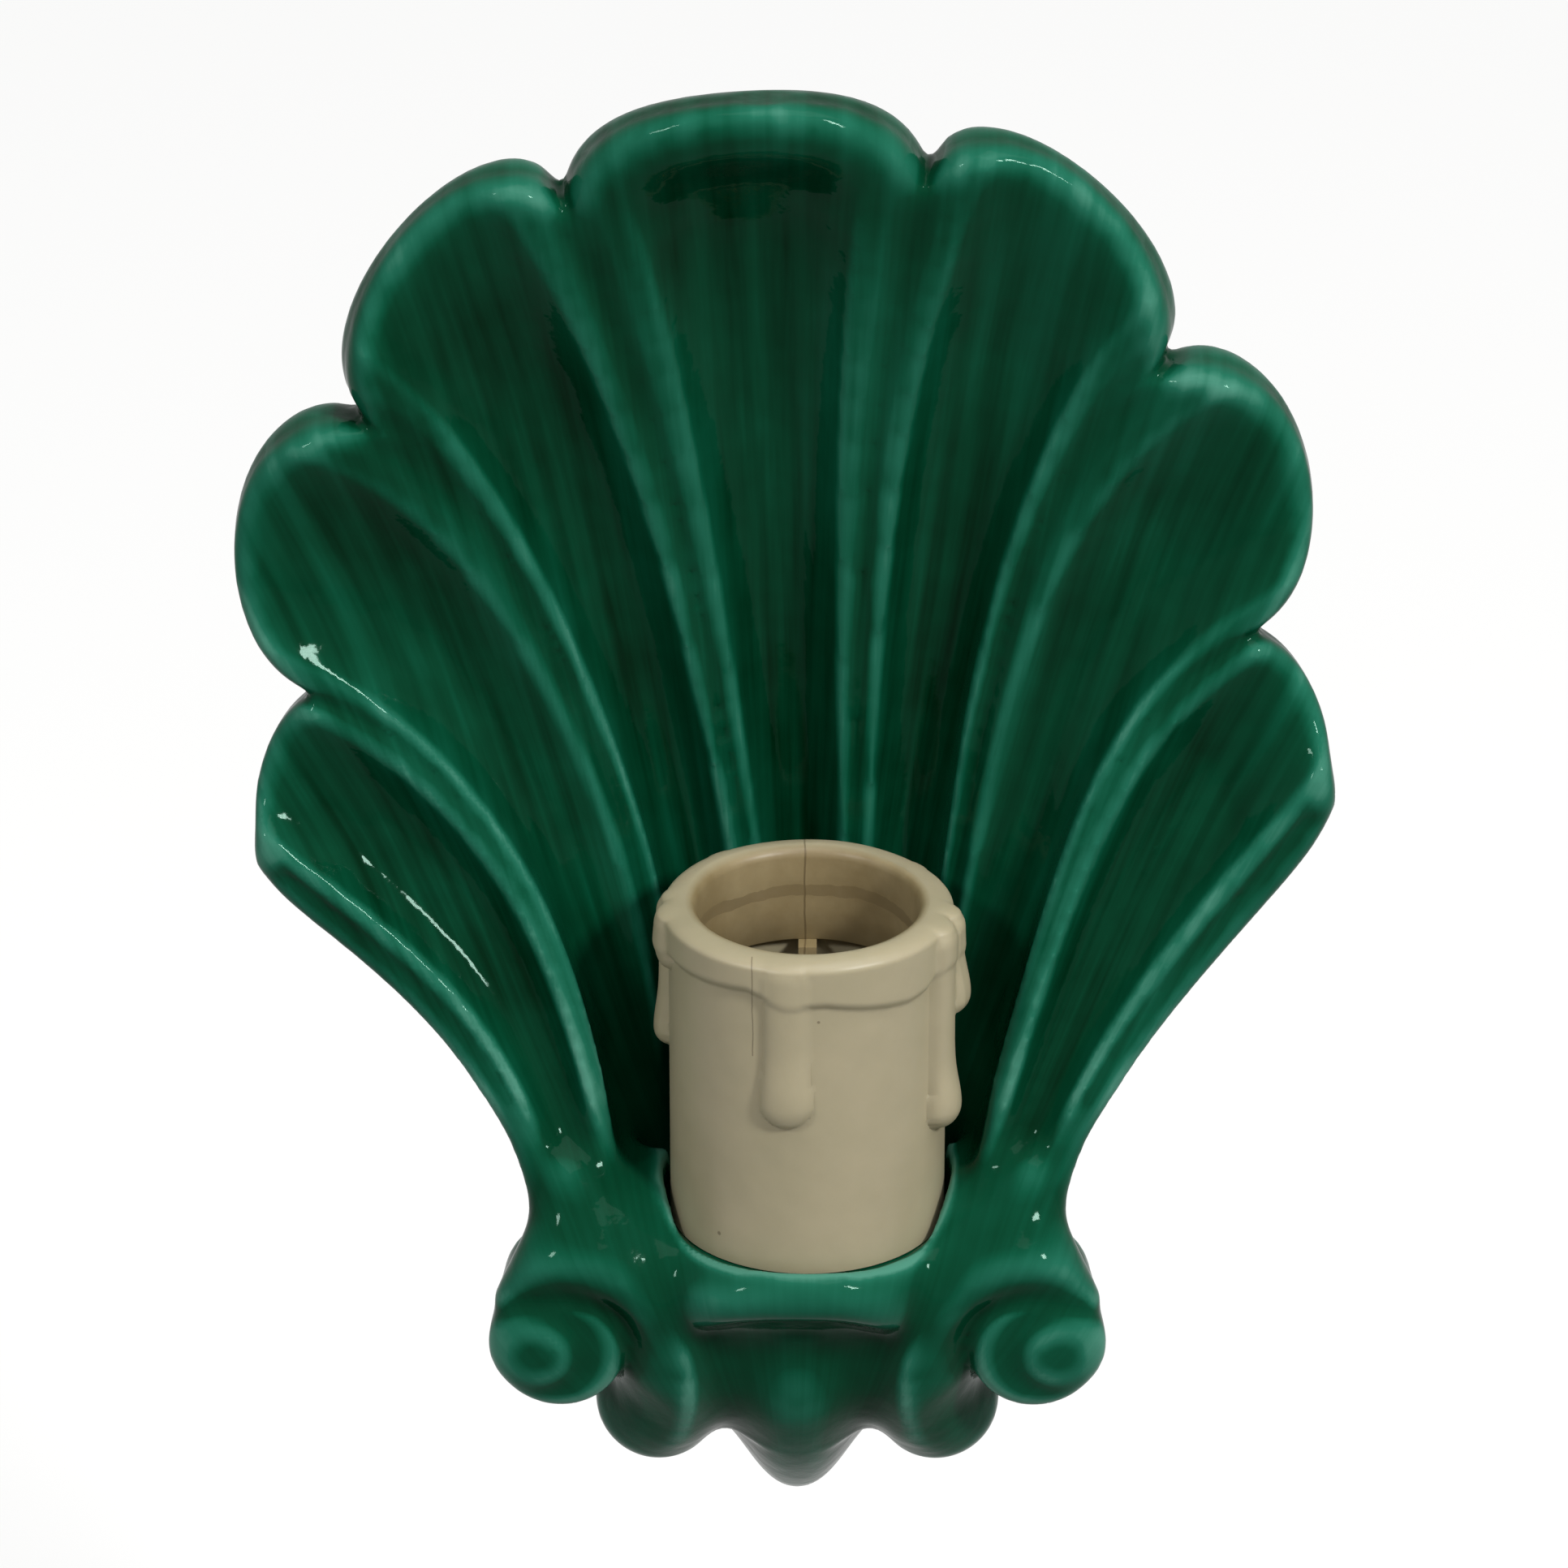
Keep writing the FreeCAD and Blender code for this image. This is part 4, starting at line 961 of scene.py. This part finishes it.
def plain_finish(name, dark, light, roughness, metallic=0.0, bump=0.05):
    """A hard finish, mottled over 8 mm, with a surface grain drawn at 0.7 mm, coarser than real, so that it shows."""
    material, add, shader = finish(name)
    place = add("TexCoord").outputs["Object"]
    cloud = add("TexNoise", place, Scale=120.0, Detail=4.0, Roughness=0.6)
    grain = add("TexNoise", place, Scale=1500.0, Detail=2.0)
    feed(shader, Base_Color=add("ValToRGB", cloud, stops=[(0.3, dark), (0.7, light)]),
         Roughness=add("MapRange", cloud, 0.3, 0.7, roughness * 0.85, roughness * 1.15),
         Normal=add("Bump", Height=grain, Strength=bump, Distance=0.0001), Metallic=metallic)
    return material


FINISHES = {
    "green_glaze": green_glaze(),
    "cream_sleeve": cream_wax(),
    # moulded under heat: near black brown with a dull polish
    "brown_moulding": plain_finish("brown_thermoset", "#1d0f0a", "#2b1710", 0.32),
    # unglazed electrical porcelain: chalky off-white
    "holder_ceramic": plain_finish("bisque_porcelain", "#cfc9bb", "#dcd7cb", 0.6),
    # pressed brass, warm yellow, and plated steel, cool grey, both softly shiny; red-brown fibre, dead matt
    "brass_plated": plain_finish("pressed_brass", "#a5803e", "#c39a52", 0.3, 1.0),
    "zinc_steel": plain_finish("zinc_plated_steel", "#9a9c9d", "#b6b8b8", 0.38, 1.0),
    "fibre": plain_finish("vulcanised_fibre", "#6a3a24", "#7d4830", 0.75, bump=0.2),
    # moulded nylon, milky, and extruded wire jackets, even in colour, both with a waxy shine
    "white_moulding": plain_finish("natural_nylon", "#cfccc0", "#dbd8ce", 0.5),
    "lead_brown": plain_finish("brown_wire_jacket", "#3a1e10", "#4a2817", 0.45),
    "lead_blue": plain_finish("blue_wire_jacket", "#143a78", "#1c4788", 0.45),
}

# Each piece, by the CAD node that it stands for.
PIECES = {
    "shell_casting": shell_casting(),
    "candle_sleeve": candle_sleeve(),
    "holder_cap": turned("holder_cap_thermoset", eased(*HOLDER_CAP)),
    "holder_skirt": turned("holder_skirt_thermoset", eased(*HOLDER_SKIRT)),
    "holder_insert": turned("holder_core", eased(*HOLDER_CORE)),
    "screw_shell": screw_shell(),
    "centre_contact": turned("contact_plunger", eased(*PLUNGER)),
    "holder_terminals": holder_terminals(),
    "holder_terminal_screws": holder_terminal_screws(),
    "seat_washer": washer("seat_ring", 11, 0, 1.2),
    "fibre_washer": washer("fibre_ring", 8.6, -9, -8),
    "steel_washer": washer("steel_ring", 8.4, -11.3, -10.5),
    "threaded_nipple": threaded_nipple(),
    "lock_nut": nut("nipple_nut", 14, 5.0, 1.0, -16.3, -11.3, SOCKET),
    "block_strap": block_strap(),
    "terminal_block": terminal_block(),
    "block_barrels": block_barrels(),
    "block_screws": block_screws(),
    "block_bolt": block_bolt(),
    "block_nut": nut("bolt_nut", 5.5, 1.5, 0.5, -18, -15.6, BOLT_AXIS),
    "lead_live": lead("brown_lead", -1),
    "lead_neutral": lead("blue_lead", 1),
}
BODIES = {"candle_sleeve": "sleeve", "centre_contact": "contact"}       # all others are on the base

for part in frame["record"]["subparts"]:
    node, slot = part["node"], part["material_slot"]
    made = PIECES[node]
    made.data.materials.clear()
    made.data.materials.append(FINISHES[slot])
    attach(made, BODIES.get(node, "base"))
    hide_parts(node)
    for place in frame["nodes"][node].material_slots:
        place.material = FINISHES[slot]


# ---- camera, light and stage
IMAGE_WIDTH = 1932          # pixels across the photograph
PIXELS_PER_MM = 8.7         # at the sleeve
DISTANCE = 1.0              # m from the sleeve's foot to the lens
ELEVATION = 28.4            # degrees the sleeve is seen from above
AIM = placed((0, 40, 20))   # the point that the scale is taken at
AIM_PIXEL = (985, 1335)     # where the photograph shows it

e = math.radians(ELEVATION)
camera = bpy.data.objects.new("camera", bpy.data.cameras.new("camera"))
bpy.context.scene.collection.objects.link(camera)
camera.location = Vector(AIM) + DISTANCE * Vector((0, -math.cos(e), math.sin(e)))
focal = PIXELS_PER_MM / MM * DISTANCE
camera.data.lens = focal / IMAGE_WIDTH * camera.data.sensor_width
up_turn = math.atan((AIM_PIXEL[1] - IMAGE_WIDTH / 2) / focal)
side_turn = math.atan((AIM_PIXEL[0] - IMAGE_WIDTH / 2) / focal)
camera.rotation_euler = (math.pi / 2 - e + up_turn, 0, side_turn)
camera.data.clip_start, camera.data.clip_end = 0.01, 50
bpy.context.scene.camera = camera


def softbox(name, place, target, width, height, power):
    light = bpy.data.lights.new(name, "AREA")
    light.shape, light.size, light.size_y, light.energy = "RECTANGLE", width, height, power
    lamp = bpy.data.objects.new(name, light)
    lamp.location = place
    lamp.rotation_euler = (Vector(target) - Vector(place)).to_track_quat("-Z", "Y").to_euler()
    bpy.context.scene.collection.objects.link(lamp)
    return lamp


MIDDLE = (0, -0.03, -0.06)
softbox("window_left", (-0.62, -0.62, 0.62), MIDDLE, 0.10, 0.16, 2.8)
softbox("window_right", (0.75, -0.8, 0.75), MIDDLE, 0.15, 0.22, 11.4)
softbox("overhead", (0.25, -0.25, 1.2), MIDDLE, 0.9, 0.9, 6.4)
GLOSS_SHARE = 0.4           # of the white backdrop, for gloss and clear pieces: dark glaze keeps its depth
WORLD_LIGHT, FLOOR_LIFT, FLOOR_HALF, FLOOR_HEIGHT = 0.4, 0.78, 6000, -190


def background_rays(add):
    """The white room behind the object: in full for the camera, and a share of it for gloss and clear pieces."""
    path = add("LightPath").outputs
    sent = add("Math MAXIMUM", path["Is Glossy Ray"], path["Is Transmission Ray"])
    share = add("Math MULTIPLY", sent, GLOSS_SHARE)
    return add("Math MAXIMUM", share, path["Is Camera Ray"])


world = bpy.data.worlds.new("studio")
bpy.context.scene.world = world
world.use_nodes = True
add = partial(add_node, world.node_tree)
feed(world.node_tree.nodes["Background"], Color=(1, 1, 1, 1),
     Strength=add("Math MULTIPLY_ADD", background_rays(add), 1 - WORLD_LIGHT, WORLD_LIGHT))

floor = mesh_object("floor", placed([(x * FLOOR_HALF, y * FLOOR_HALF, FLOOR_HEIGHT) for x, y in
                                     ((-1, -1), (1, -1), (1, 1), (-1, 1))]), [(0, 3, 2, 1)])
pale, add, shader = finish("pale_floor")
feed(shader, Base_Color=linear("#8c8c8a"), Roughness=0.9, Specular_IOR_Level=0.1, Emission_Color=(1, 1, 1, 1),
     Emission_Strength=add("Math MULTIPLY", background_rays(add), FLOOR_LIFT))
floor.data.materials.append(pale)

bpy.context.scene.view_settings.view_transform = "Standard"
